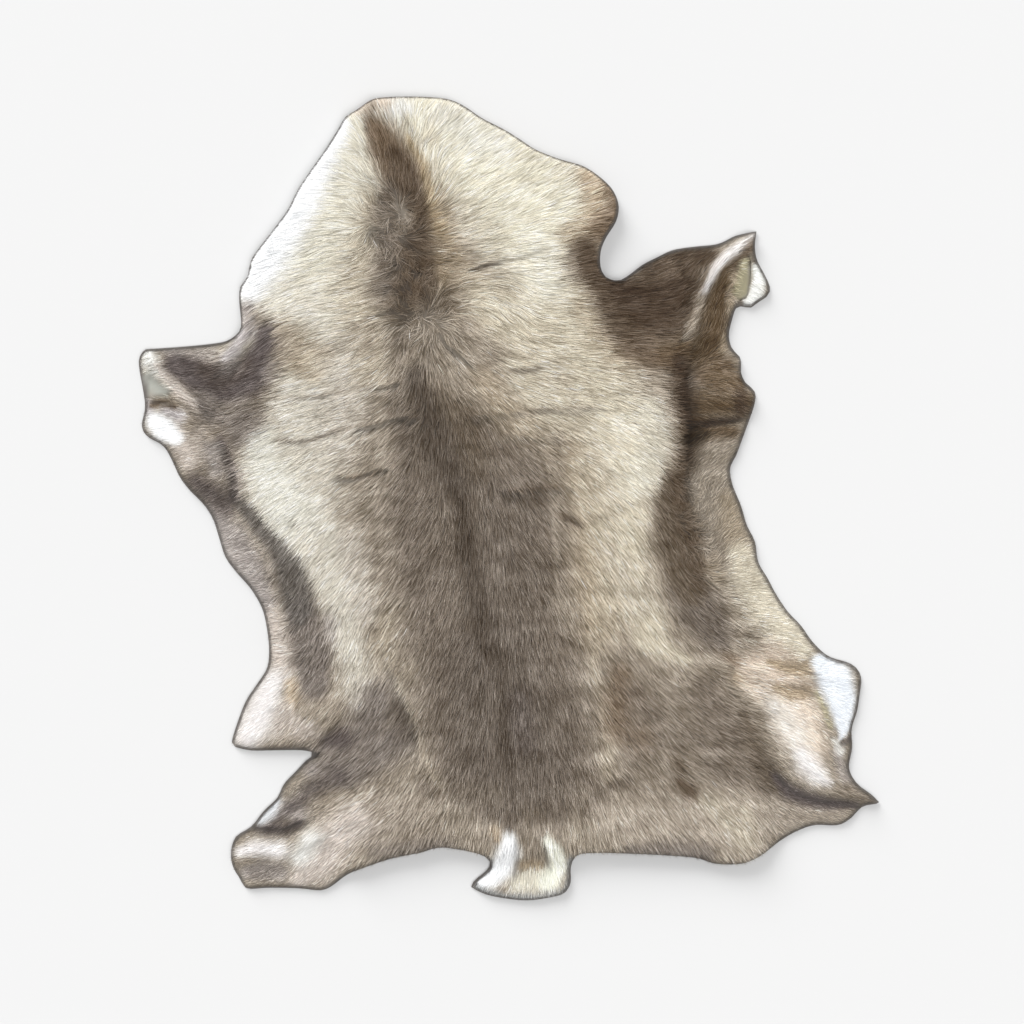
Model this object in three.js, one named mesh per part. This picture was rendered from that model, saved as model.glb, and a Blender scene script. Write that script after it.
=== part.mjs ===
// A whole reindeer hide laid fur side up: neck, back, rump, four leg flaps and tail in one piece.
// Millimetres, +Z up out of the fur, +Y towards the neck, the flesh side resting on Z = 0.
import * as THREE from "three";

// Thickness of skin and standing coat together, by part of the hide.
const BACK_PILE = 27;
const BELLY_PILE = 13;
const HIND_LEG_PILE = 12;
const TAIL_PILE = 15;
const BARE_SKIN = 3;

// The rim: its upright edge, how far the coat takes to round over it, and how far a leg tip curls up.
const RIM_HEIGHT = 4;
const ROUND_OVER = 34;
const SWELL_HEIGHT = 1.3;
const SWELL_LENGTH = 95;

// Spacing of the facets, fine round the rim and along the folds, coarse on the flat flesh side.
const RIM_STEP = 15;
const COAT_STEP = 23;
const FOLD_STEP = 11.5;
const FLESH_STEP = 66;
const RIM_RINGS = [4, 11, 21];
const FOLD_REACH = 2.1;

// The edge of the fur, clockwise from the left foreleg's pit. Each stretch is a list of [x, y].
const EDGE = {
  neckLeft: [
    [-405, 259], [-408, 298], [-406, 318], [-396, 332], [-390, 358], [-380, 373],
    [-357, 403], [-335, 433], [-320, 463], [-300, 493], [-279, 523], [-260, 553],
  ],
  crown: [
    [-249, 572], [-230, 584], [-210, 598], [-189, 602], [-144, 603], [-99, 600],
    [-72, 590], [-44, 571], [-9, 553], [18, 536], [38, 523], [74, 509], [108, 499],
  ],
  neckRight: [
    [134, 482], [153, 463], [162, 439], [158, 415], [143, 391], [135, 370], [135, 346], [143, 332],
  ],
  foreRight: [
    [161, 327], [179, 337], [197, 351], [221, 363], [243, 373], [276, 378], [311, 382],
    [336, 394], [369, 401], [366, 380], [369, 358], [380, 337], [389, 316], [385, 303],
    [371, 294], [359, 285], [347, 288], [338, 286], [332, 268], [327, 245], [332, 224],
  ],
  bulgeRight: [
    [345, 211], [345, 191], [351, 175], [366, 161], [366, 143], [359, 121], [348, 91],
    [338, 64], [329, 46],
  ],
  bellyRight: [
    [332, 22], [345, -10], [354, -40], [366, -64], [371, -95], [385, -119], [397, -142],
    [415, -169], [435, -190], [452, -214],
  ],
  hindRight: [
    [476, -236], [511, -248], [525, -266], [523, -295], [519, -320], [511, -346],
    [512, -374], [507, -404], [519, -427], [539, -442], [555, -457], [527, -462],
    [514, -476], [492, -490], [456, -490], [429, -499], [403, -514], [376, -535],
    [346, -548], [306, -548], [281, -540],
  ],
  rearRight: [
    [239, -536], [179, -533], [126, -532], [98, -536],
  ],
  tail: [
    [90, -554], [90, -575], [81, -592], [56, -599], [25, -603], [-9, -600], [-41, -593],
    [-63, -581], [-50, -568], [-35, -556], [-32, -543],
  ],
  rearLeft: [
    [-50, -533], [-84, -526], [-110, -524], [-137, -532], [-174, -539], [-212, -551],
    [-245, -564], [-266, -580], [-284, -588],
  ],
  hindLeft: [
    [-317, -585], [-362, -584], [-397, -585], [-406, -571], [-417, -553], [-420, -530],
    [-413, -507], [-389, -491], [-371, -468], [-351, -449], [-341, -428], [-323, -409],
    [-305, -390], [-290, -383],
  ],
  flapLeft: [
    [-312, -378], [-354, -378], [-392, -378], [-420, -371], [-417, -356], [-408, -329],
    [-397, -302], [-381, -278], [-366, -254],
  ],
  bellyLeft: [
    [-363, -227], [-366, -197], [-373, -166], [-390, -136], [-411, -112], [-428, -89],
    [-438, -59], [-447, -31], [-462, -8], [-481, 11], [-497, 32],
  ],
  foreLeft: [
    [-509, 58], [-522, 79], [-545, 92], [-554, 108], [-549, 136], [-552, 163], [-557, 190],
    [-558, 211], [-549, 224], [-504, 227], [-459, 231], [-428, 236], [-412, 246],
  ],
};

// Corners that stay sharp: the tips of the leg flaps and the pits between them and the body.
const SHARP = new Set(["369,401", "555,-457", "-420,-371", "-290,-383", "-549,224", "-63,-581"]);

// Parts of the hide where the coat is shorter than on the back. blend is the width of the change.
const SHORTER_COAT = [
  {
    name: "right foreleg and belly",
    pile: BELLY_PILE,
    blend: 20,
    area: [
      [150, 520], [262, 262], [252, 185], [254, 148], [257, 110], [255, 73], [254, 35],
      [262, -10], [285, -60], [312, -120], [345, -170], [380, -240], [700, -240], [700, 520],
    ],
  },
  {
    name: "left foreleg and belly",
    pile: BELLY_PILE,
    blend: 26,
    area: [
      [-404, 262], [-388, 225], [-402, 180], [-425, 130], [-442, 98], [-428, 60],
      [-410, 20], [-385, -30], [-358, -90], [-346, -160], [-340, -230], [-325, -300],
      [-290, -345], [-290, -383], [-700, -400], [-700, 262],
    ],
  },
  {
    name: "left hind leg",
    pile: HIND_LEG_PILE,
    blend: 60,
    area: [[-290, -385], [-262, -430], [-250, -480], [-240, -640], [-700, -640], [-700, -385]],
  },
  {
    name: "right hind leg",
    pile: HIND_LEG_PILE,
    blend: 60,
    area: [[345, -210], [372, -300], [385, -420], [380, -640], [700, -640], [700, -210]],
  },
  {
    name: "tail",
    pile: TAIL_PILE,
    blend: 26,
    area: [[-36, -525], [100, -525], [110, -640], [-90, -640]],
  },
  {
    name: "bare skin at right foreleg tip",
    pile: BARE_SKIN,
    blend: 5,
    area: [
      [352, 368], [359, 355], [359, 328], [354, 302], [340, 293], [331, 301], [336, 328], [345, 352],
    ],
  },
  {
    name: "bare skin at left foreleg tip",
    pile: BARE_SKIN,
    blend: 5,
    area: [
      [-553, 190], [-527, 188], [-506, 167], [-494, 154], [-519, 151], [-541, 148], [-549, 154],
    ],
  },
];

// Folds and creases. rise is up for a fold and down for a crease, half is its half width.
const FOLDS = [
  { name: "right foreleg fold", rise: 10, half: 8,
    path: [[258, 240], [270, 285], [287, 322], [316, 354], [345, 382], [360, 394]] },
  { name: "right shoulder crease", rise: -9, half: 6,
    path: [[263, 225], [252, 185], [254, 148], [257, 110], [255, 73], [254, 35], [259, -2]] },
  { name: "right elbow upper swell", rise: 5, half: 17, path: [[276, 190], [302, 199], [332, 196]] },
  { name: "right elbow lower swell", rise: 5, half: 14, path: [[286, 142], [321, 149], [352, 153]] },
  { name: "right elbow crease", rise: -7, half: 6, path: [[266, 106], [288, 112], [316, 115], [350, 117]] },
  { name: "left foreleg fold", rise: 8, half: 7,
    path: [[-541, 214], [-524, 187], [-497, 160], [-470, 137], [-449, 112], [-446, 94]] },
  { name: "left foreleg crease", rise: -5, half: 4,
    path: [[-541, 136], [-529, 144], [-511, 143], [-497, 133]] },
  { name: "left shoulder fold", rise: 7, half: 9, path: [[-433, 208], [-417, 221], [-406, 241]] },
  { name: "left shoulder crease", rise: -6, half: 12,
    path: [[-427, 181], [-395, 205], [-374, 241], [-365, 262]] },
  { name: "left flank crease", rise: -5, half: 8, path: [[-448, 91], [-431, 58], [-419, 28], [-410, 5]] },
  { name: "left elbow crease", rise: -3, half: 8, path: [[-455, 10], [-410, 2]] },
  { name: "left flap swell", rise: 4, half: 14, path: [[-392, -355], [-317, -359]] },
  { name: "left flap crease", rise: -6, half: 9, path: [[-264, -340], [-272, -362], [-284, -380]] },
  { name: "left stifle crease", rise: -5, half: 8,
    path: [[-342, -448], [-320, -434], [-290, -424], [-249, -421], [-219, -427]] },
  { name: "left hock swell", rise: 3, half: 8, path: [[-379, -488], [-362, -464], [-344, -449]] },
  { name: "left hind crease", rise: -6, half: 8,
    path: [[-406, -506], [-374, -500], [-342, -505], [-317, -496], [-293, -479]] },
  { name: "left hind fold", rise: 6, half: 12,
    path: [[-412, -532], [-374, -521], [-332, -521], [-290, -500], [-249, -475]] },
  { name: "left hind lower crease", rise: -4, half: 8, path: [[-399, -554], [-365, -548], [-332, -551]] },
  { name: "right hind fold", rise: 9, half: 13,
    path: [[362, -287], [396, -326], [426, -370], [452, -404], [490, -431], [539, -449]] },
  { name: "right hind crease", rise: -7, half: 8,
    path: [[374, -392], [411, -425], [446, -445], [493, -455], [540, -458]] },
  { name: "right stifle swell", rise: 4, half: 14, path: [[336, -258], [381, -264], [434, -262]] },
  { name: "right stifle crease", rise: -4, half: 7, path: [[345, -234], [400, -242], [436, -250]] },
  { name: "right hind cut", rise: -4, half: 4,
    path: [[466, -290], [478, -320], [490, -356], [502, -382]] },
  { name: "left haunch fold", rise: 3, half: 9,
    path: [[-188, -250], [-173, -287], [-149, -326], [-131, -370], [-119, -419], [-89, -455]] },
  { name: "left haunch crease", rise: -4, half: 10,
    path: [[-191, -287], [-170, -320], [-146, -362], [-137, -400], [-113, -440]] },
  { name: "right haunch crease", rise: -3, half: 14,
    path: [[144, -235], [131, -302], [122, -370], [116, -437]] },
  { name: "tail left parting", rise: -4, half: 7, path: [[12, -523], [10, -572]] },
  { name: "tail right parting", rise: -4, half: 7, path: [[50, -520], [62, -557]] },
  { name: "neck wrinkle", rise: -3, half: 5, path: [[-72, 337], [-24, 350], [14, 358], [56, 371]] },
  { name: "left back wrinkle", rise: -2, half: 6, path: [[-339, 86], [-309, 83], [-279, 92], [-249, 106]] },
  { name: "left loin wrinkle", rise: -2, half: 6, path: [[-257, 31], [-234, 28], [-211, 37], [-189, 43]] },
  { name: "middle back wrinkle", rise: -2, half: 6, path: [[-121, 118], [0, 126], [118, 140]] },
];

// A leg fold lifts the skin off the floor under it by this share of its rise.
const SKIN_LIFT = 0.5;
const LIFTED = new Set(["right foreleg fold", "left foreleg fold", "right hind fold", "left hind fold"]);

const clamp01 = (t) => Math.min(1, Math.max(0, t));
const smooth = (t) => clamp01(t) ** 2 * (3 - 2 * clamp01(t));

// Distance from p to the straight line between a and b.
function toSegment(p, a, b) {
  const run = [b[0] - a[0], b[1] - a[1]];
  const along = (p[0] - a[0]) * run[0] + (p[1] - a[1]) * run[1];
  const t = clamp01(along / (run[0] ** 2 + run[1] ** 2));
  return Math.hypot(p[0] - a[0] - t * run[0], p[1] - a[1] - t * run[1]);
}

// Distance from p to a chain of points, closed into a loop if asked.
function toPath(p, path, closed = false) {
  let least = Infinity;
  for (let i = closed ? 0 : 1; i < path.length; i += 1) {
    const before = path[(i + path.length - 1) % path.length];
    least = Math.min(least, toSegment(p, before, path[i]));
  }
  return least;
}

function isInside(p, loop) {
  let inside = false;
  for (let i = 0, j = loop.length - 1; i < loop.length; j = i, i += 1) {
    const [a, b] = [loop[i], loop[j]];
    const spans = a[1] > p[1] !== b[1] > p[1];
    if (spans && p[0] < ((b[0] - a[0]) * (p[1] - a[1])) / (b[1] - a[1]) + a[0]) {
      inside = !inside;
    }
  }
  return inside;
}

// The edge stretches joined into one loop, rounded between points and cut to even steps.
function sampleEdge(step) {
  const corners = Object.values(EDGE).flat();
  const loop = [];
  const count = corners.length;
  for (let i = 0; i < count; i += 1) {
    const [before, from, to, after] = [-1, 0, 1, 2].map((k) => corners[(i + k + count) % count]);
    const isSharp = [from, to].map((c) => SHARP.has(c.join()));
    const length = Math.hypot(to[0] - from[0], to[1] - from[1]);
    const pieces = Math.max(1, Math.round(length / step));
    const leave = isSharp[0] ? from : before;
    const arrive = isSharp[1] ? to : after;
    for (let k = 0; k < pieces; k += 1) {
      const t = k / pieces;
      loop.push([0, 1].map((axis) => {
        const [p0, p1, p2, p3] = [leave[axis], from[axis], to[axis], arrive[axis]];
        const bend = 2 * p0 - 5 * p1 + 4 * p2 - p3;
        const twist = 3 * (p1 - p2) + p3 - p0;
        return p1 + 0.5 * t * (p2 - p0 + t * (bend + t * twist));
      }));
    }
  }
  return loop.reverse();
}

const rim = sampleEdge(RIM_STEP);

// Full thickness of skin and coat at a point well inside the edge.
function pileAt(p) {
  let pile = BACK_PILE;
  for (const { pile: shorter, blend, area } of SHORTER_COAT) {
    const depth = toPath(p, area, true) * (isInside(p, area) ? 1 : -1);
    pile += (Math.min(pile, shorter) - pile) * smooth(0.5 + depth / blend);
  }
  return pile;
}

// How far the named folds lift the skin, and how far all of them raise or sink the coat.
function foldsAt(p) {
  let lift = 0;
  let raise = 0;
  for (const { name, rise, half, path } of FOLDS) {
    const height = rise * Math.exp(-((toPath(p, path) / half) ** 2));
    raise += height;
    if (LIFTED.has(name)) {
      lift += SKIN_LIFT * height;
    }
  }
  return { lift, raise };
}

function skinHeight(p) {
  const { lift } = foldsAt(p);
  return lift < 0.05 ? 0 : lift;
}

// Top of the coat: a quarter round at the rim, then the pile with its folds and a slow swell.
function coatHeight(p, depth) {
  const { lift, raise } = foldsAt(p);
  const inward = clamp01(depth / ROUND_OVER);
  const round = Math.sqrt(1 - (1 - inward) ** 2);
  const swell = Math.sin(p[0] / SWELL_LENGTH + 0.7) * Math.cos(p[1] / SWELL_LENGTH - 0.4);
  const body = pileAt(p) - RIM_HEIGHT + raise - lift + SWELL_HEIGHT * swell;
  const base = lift < 0.05 ? 0 : lift;
  return base + RIM_HEIGHT + Math.max(0, body) * round;
}

// A triangle's circle as [centre x, centre y, radius squared].
function circleThrough(a, b, c) {
  const [bx, by, cx, cy] = [b[0] - a[0], b[1] - a[1], c[0] - a[0], c[1] - a[1]];
  const cross = 2 * (bx * cy - by * cx);
  const x = (cy * (bx * bx + by * by) - by * (cx * cx + cy * cy)) / cross;
  const y = (bx * (cx * cx + cy * cy) - cx * (bx * bx + by * by)) / cross;
  return [a[0] + x, a[1] + y, x * x + y * y];
}

// Even triangles over a set of points, added one by one from left to right: a triangle whose
// circle holds the new point is opened up and its outer edges are joined to that point.
function joinPoints(points) {
  const far = 20000;
  const all = [...points, [-far, -far], [far, -far], [0, far]];
  const corner = points.length;
  const order = points.map((_, i) => i).sort((i, j) => points[i][0] - points[j][0]);
  const made = (v) => ({ v, circle: circleThrough(...v.map((i) => all[i])) });
  let open = [made([corner, corner + 1, corner + 2])];
  const done = [];
  for (const next of order) {
    const [x, y] = points[next];
    const edges = new Map();
    const kept = [];
    for (const face of open) {
      const [cx, cy, radius2] = face.circle;
      if (x > cx && (x - cx) ** 2 > radius2) {
        done.push(face);
      } else if ((x - cx) ** 2 + (y - cy) ** 2 > radius2) {
        kept.push(face);
      } else {
        for (let k = 0; k < 3; k += 1) {
          const [a, b] = [face.v[k], face.v[(k + 1) % 3]];
          if (!edges.delete(`${b},${a}`)) {
            edges.set(`${a},${b}`, [a, b]);
          }
        }
      }
    }
    open = kept;
    for (const [a, b] of edges.values()) {
      open.push(made([a, b, next]));
    }
  }
  return [...done, ...open].map((face) => face.v).filter((v) => v.every((i) => i < corner));
}

// Keeps only the triangles that lie within the rim.
function coverHide(points) {
  return joinPoints(points).filter((v) => {
    const middle = [0, 1].map((axis) => (points[v[0]][axis] + points[v[1]][axis] + points[v[2]][axis]) / 3);
    return isInside(middle, rim);
  });
}

// Staggered rows of points, each nudged a little so that no four share a circle.
function* staggered(step) {
  const row = (step * Math.sqrt(3)) / 2;
  for (let j = -Math.ceil(640 / row); j <= Math.ceil(640 / row); j += 1) {
    for (let i = -Math.ceil(640 / step); i <= Math.ceil(640 / step); i += 1) {
      const nudge = [Math.sin(12.9 * i + 78.2 * j), Math.sin(39.3 * i + 11.1 * j)];
      yield [
        (i + 0.5 * (j & 1)) * step + 0.07 * step * nudge[0],
        j * row + 0.07 * step * nudge[1],
      ];
    }
  }
}

// Adds a point unless another already lies within its clearance.
class Spread {
  constructor(cell) {
    this.cell = cell;
    this.points = [];
    this.cells = new Map();
  }

  add(p, clearance) {
    const [cx, cy] = p.map((v) => Math.floor(v / this.cell));
    const reach = Math.ceil(clearance / this.cell);
    for (let i = cx - reach; i <= cx + reach; i += 1) {
      for (let j = cy - reach; j <= cy + reach; j += 1) {
        for (const other of this.cells.get(`${i},${j}`) ?? []) {
          if (Math.hypot(p[0] - other[0], p[1] - other[1]) < clearance) {
            return;
          }
        }
      }
    }
    const key = `${cx},${cy}`;
    this.cells.set(key, [...(this.cells.get(key) ?? []), p]);
    this.points.push(p);
  }
}

// The coat's points: the rim, rings following it, then fine rows on folds and coarse rows between.
function coatPoints() {
  const spread = new Spread(RIM_STEP);
  rim.forEach((p) => spread.add(p, 0));
  for (const depth of RIM_RINGS) {
    rim.forEach((p, i) => {
      const next = rim[(i + 1) % rim.length];
      const back = rim[(i + rim.length - 1) % rim.length];
      const run = [next[0] - back[0], next[1] - back[1]];
      const length = Math.hypot(...run);
      const inner = [p[0] - (run[1] / length) * depth, p[1] + (run[0] / length) * depth];
      if (isInside(inner, rim) && toPath(inner, rim, true) > 0.85 * depth) {
        spread.add(inner, Math.min(0.62 * RIM_STEP, depth * 0.95 + 1));
      }
    });
  }
  const edgeRoom = (p) => isInside(p, rim) && toPath(p, rim, true) > RIM_RINGS.at(-1) + 0.4 * RIM_STEP;
  const nearFold = (p) => FOLDS.some(({ half, path }) => toPath(p, path) < FOLD_REACH * half);
  for (const p of staggered(FOLD_STEP)) {
    if (nearFold(p) && edgeRoom(p)) {
      spread.add(p, 0.75 * FOLD_STEP);
    }
  }
  for (const p of staggered(COAT_STEP)) {
    if (edgeRoom(p)) {
      spread.add(p, 0.75 * COAT_STEP);
    }
  }
  return spread.points;
}

// The flesh side's points: the rim, coarse rows, and finer rows under the lifted leg folds.
function skinPoints() {
  const spread = new Spread(RIM_STEP);
  rim.forEach((p) => spread.add(p, 0));
  const room = (p, step) => isInside(p, rim) && toPath(p, rim, true) > 0.5 * step;
  const lifted = FOLDS.filter(({ name }) => LIFTED.has(name));
  for (const p of staggered(RIM_STEP)) {
    if (room(p, RIM_STEP) && lifted.some(({ half, path }) => toPath(p, path) < 3 * half)) {
      spread.add(p, 0.75 * RIM_STEP);
    }
  }
  for (const p of staggered(FLESH_STEP)) {
    if (room(p, FLESH_STEP)) {
      spread.add(p, 0.6 * FLESH_STEP);
    }
  }
  return spread.points;
}

// One closed skin: coat on top, flesh side below, and an upright band round the rim.
function hideGeometry() {
  const top = coatPoints();
  const flesh = skinPoints();
  const positions = [
    ...top.flatMap((p, i) => [...p, coatHeight(p, i < rim.length ? 0 : toPath(p, rim, true))]),
    ...flesh.flatMap((p) => [...p, skinHeight(p)]),
  ];
  const offset = top.length;
  const faces = [
    ...coverHide(top),
    ...coverHide(flesh).map(([a, b, c]) => [offset + a, offset + c, offset + b]),
  ];
  for (let i = 0; i < rim.length; i += 1) {
    const next = (i + 1) % rim.length;
    faces.push([offset + i, offset + next, next], [offset + i, next, i]);
  }
  const geometry = new THREE.BufferGeometry();
  geometry.setAttribute("position", new THREE.Float32BufferAttribute(positions, 3));
  geometry.setIndex(faces.flat());
  geometry.computeVertexNormals();
  return geometry;
}

const fur = new THREE.MeshStandardMaterial({ color: 0xa39a88, roughness: 0.95, metalness: 0 });

const hide = new THREE.Mesh(hideGeometry(), fur);
hide.name = "hide";

const group = new THREE.Group();
group.name = "reindeer_hide";
group.add(hide);

export default group;
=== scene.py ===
"""A whole reindeer hide laid fur side up: thin tanned skin, a bed of under-fur and the standing hair.

The hide's form is worked out in millimetres from a few short tables, the same as its solid's: the
edge of the fur, how deep the coat stands, and its folds. Colour marks and combing guides are placed
on a drafting grid of 1.5 mm squares, counted to the right and down.
"""

import logging
from dataclasses import dataclass, field
from enum import Enum

import bpy
import numpy as np
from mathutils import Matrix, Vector

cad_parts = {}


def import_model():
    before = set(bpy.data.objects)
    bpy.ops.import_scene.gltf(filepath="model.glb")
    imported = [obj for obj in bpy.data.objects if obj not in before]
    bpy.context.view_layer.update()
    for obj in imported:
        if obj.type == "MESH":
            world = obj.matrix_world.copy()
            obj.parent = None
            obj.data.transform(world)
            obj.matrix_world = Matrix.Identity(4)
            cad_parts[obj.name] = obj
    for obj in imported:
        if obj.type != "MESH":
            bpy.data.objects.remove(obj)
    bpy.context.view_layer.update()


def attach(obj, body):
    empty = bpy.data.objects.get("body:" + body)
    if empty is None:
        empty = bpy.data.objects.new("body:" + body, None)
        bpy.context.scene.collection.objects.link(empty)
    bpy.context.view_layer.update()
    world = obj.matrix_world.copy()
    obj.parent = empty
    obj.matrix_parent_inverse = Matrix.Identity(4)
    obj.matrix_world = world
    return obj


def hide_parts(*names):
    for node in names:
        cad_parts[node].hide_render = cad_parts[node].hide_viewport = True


log = logging.getLogger("hide")

MM = 0.001
SQUARE = 1.5  # mm to a square of the drafting grid
GRID_MIDDLE = (511.0, 498.5)  # the hide's middle on the drafting grid, squares right and down
SEED = 20
COAT_COLOUR = "coat"  # the name under which each piece's points keep their colour

Points = list[tuple[float, float]]
Window = tuple[slice, slice]

# The edge of the fur in mm, clockwise from the left foreleg's pit, one row for each stretch.
EDGE: dict[str, Points] = {
    "neck_left": [
        (-405, 259), (-408, 298), (-406, 318), (-396, 332), (-390, 358), (-380, 373),
        (-357, 403), (-335, 433), (-320, 463), (-300, 493), (-279, 523), (-260, 553),
    ],
    "crown": [
        (-249, 572), (-230, 584), (-210, 598), (-189, 602), (-144, 603), (-99, 600),
        (-72, 590), (-44, 571), (-9, 553), (18, 536), (38, 523), (74, 509), (108, 499),
    ],
    "neck_right": [
        (134, 482), (153, 463), (162, 439), (158, 415), (143, 391), (135, 370), (135, 346),
        (143, 332),
    ],
    "fore_right": [
        (161, 327), (179, 337), (197, 351), (221, 363), (243, 373), (276, 378), (311, 382),
        (336, 394), (369, 401), (366, 380), (369, 358), (380, 337), (389, 316), (385, 303),
        (371, 294), (359, 285), (347, 288), (338, 286), (332, 268), (327, 245), (332, 224),
    ],
    "bulge_right": [
        (345, 211), (345, 191), (351, 175), (366, 161), (366, 143), (359, 121), (348, 91),
        (338, 64), (329, 46),
    ],
    "belly_right": [
        (332, 22), (345, -10), (354, -40), (366, -64), (371, -95), (385, -119), (397, -142),
        (415, -169), (435, -190), (452, -214),
    ],
    "hind_right": [
        (476, -236), (511, -248), (525, -266), (523, -295), (519, -320), (511, -346),
        (512, -374), (507, -404), (519, -427), (539, -442), (555, -457), (527, -462),
        (514, -476), (492, -490), (456, -490), (429, -499), (403, -514), (376, -535),
        (346, -548), (306, -548), (281, -540),
    ],
    "rear_right": [(239, -536), (179, -533), (126, -532), (98, -536)],
    "tail": [
        (90, -554), (90, -575), (81, -592), (56, -599), (25, -603), (-9, -600), (-41, -593),
        (-63, -581), (-50, -568), (-35, -556), (-32, -543),
    ],
    "rear_left": [
        (-50, -533), (-84, -526), (-110, -524), (-137, -532), (-174, -539), (-212, -551),
        (-245, -564), (-266, -580), (-284, -588),
    ],
    "hind_left": [
        (-317, -585), (-362, -584), (-397, -585), (-406, -571), (-417, -553), (-420, -530),
        (-413, -507), (-389, -491), (-371, -468), (-351, -449), (-341, -428), (-323, -409),
        (-305, -390), (-290, -383),
    ],
    "flap_left": [
        (-312, -378), (-354, -378), (-392, -378), (-420, -371), (-417, -356), (-408, -329),
        (-397, -302), (-381, -278), (-366, -254),
    ],
    "belly_left": [
        (-363, -227), (-366, -197), (-373, -166), (-390, -136), (-411, -112), (-428, -89),
        (-438, -59), (-447, -31), (-462, -8), (-481, 11), (-497, 32),
    ],
    "fore_left": [
        (-509, 58), (-522, 79), (-545, 92), (-554, 108), (-549, 136), (-552, 163), (-557, 190),
        (-558, 211), (-549, 224), (-504, 227), (-459, 231), (-428, 236), (-412, 246),
    ],
}
SHARP = {(369, 401), (555, -457), (-420, -371), (-290, -383), (-549, 224), (-63, -581)}

BACK_PILE = 27.0
RIM_HEIGHT = 4.0
ROUND_OVER = 34.0
SWELL_HEIGHT = 1.3
SWELL_LENGTH = 95.0
SKIN_LIFT = 0.5

# Where the coat is shorter than on the back: depth, width of the change, and the area.
SHORTER_COAT: dict[str, tuple[float, float, Points]] = {
    "right_fore_and_belly": (13, 20, [
        (150, 520), (262, 262), (252, 185), (254, 148), (257, 110), (255, 73), (254, 35),
        (262, -10), (285, -60), (312, -120), (345, -170), (380, -240), (700, -240), (700, 520),
    ]),
    "left_fore_and_belly": (13, 26, [
        (-404, 262), (-388, 225), (-402, 180), (-425, 130), (-442, 98), (-428, 60), (-410, 20),
        (-385, -30), (-358, -90), (-346, -160), (-340, -230), (-325, -300), (-290, -345),
        (-290, -383), (-700, -400), (-700, 262),
    ]),
    "left_hind_leg": (12, 60, [
        (-290, -385), (-262, -430), (-250, -480), (-240, -640), (-700, -640), (-700, -385),
    ]),
    "right_hind_leg": (12, 60, [
        (345, -210), (372, -300), (385, -420), (380, -640), (700, -640), (700, -210),
    ]),
    "tail": (15, 26, [(-36, -525), (100, -525), (110, -640), (-90, -640)]),
}
BARE_SKIN: dict[str, Points] = {
    "right_tip": [
        (352, 368), (359, 355), (359, 328), (354, 302), (340, 293), (331, 301), (336, 328),
        (345, 352),
    ],
    "left_tip": [
        (-553, 190), (-527, 188), (-506, 167), (-494, 154), (-519, 151), (-541, 148),
        (-549, 154),
    ],
}

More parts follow.
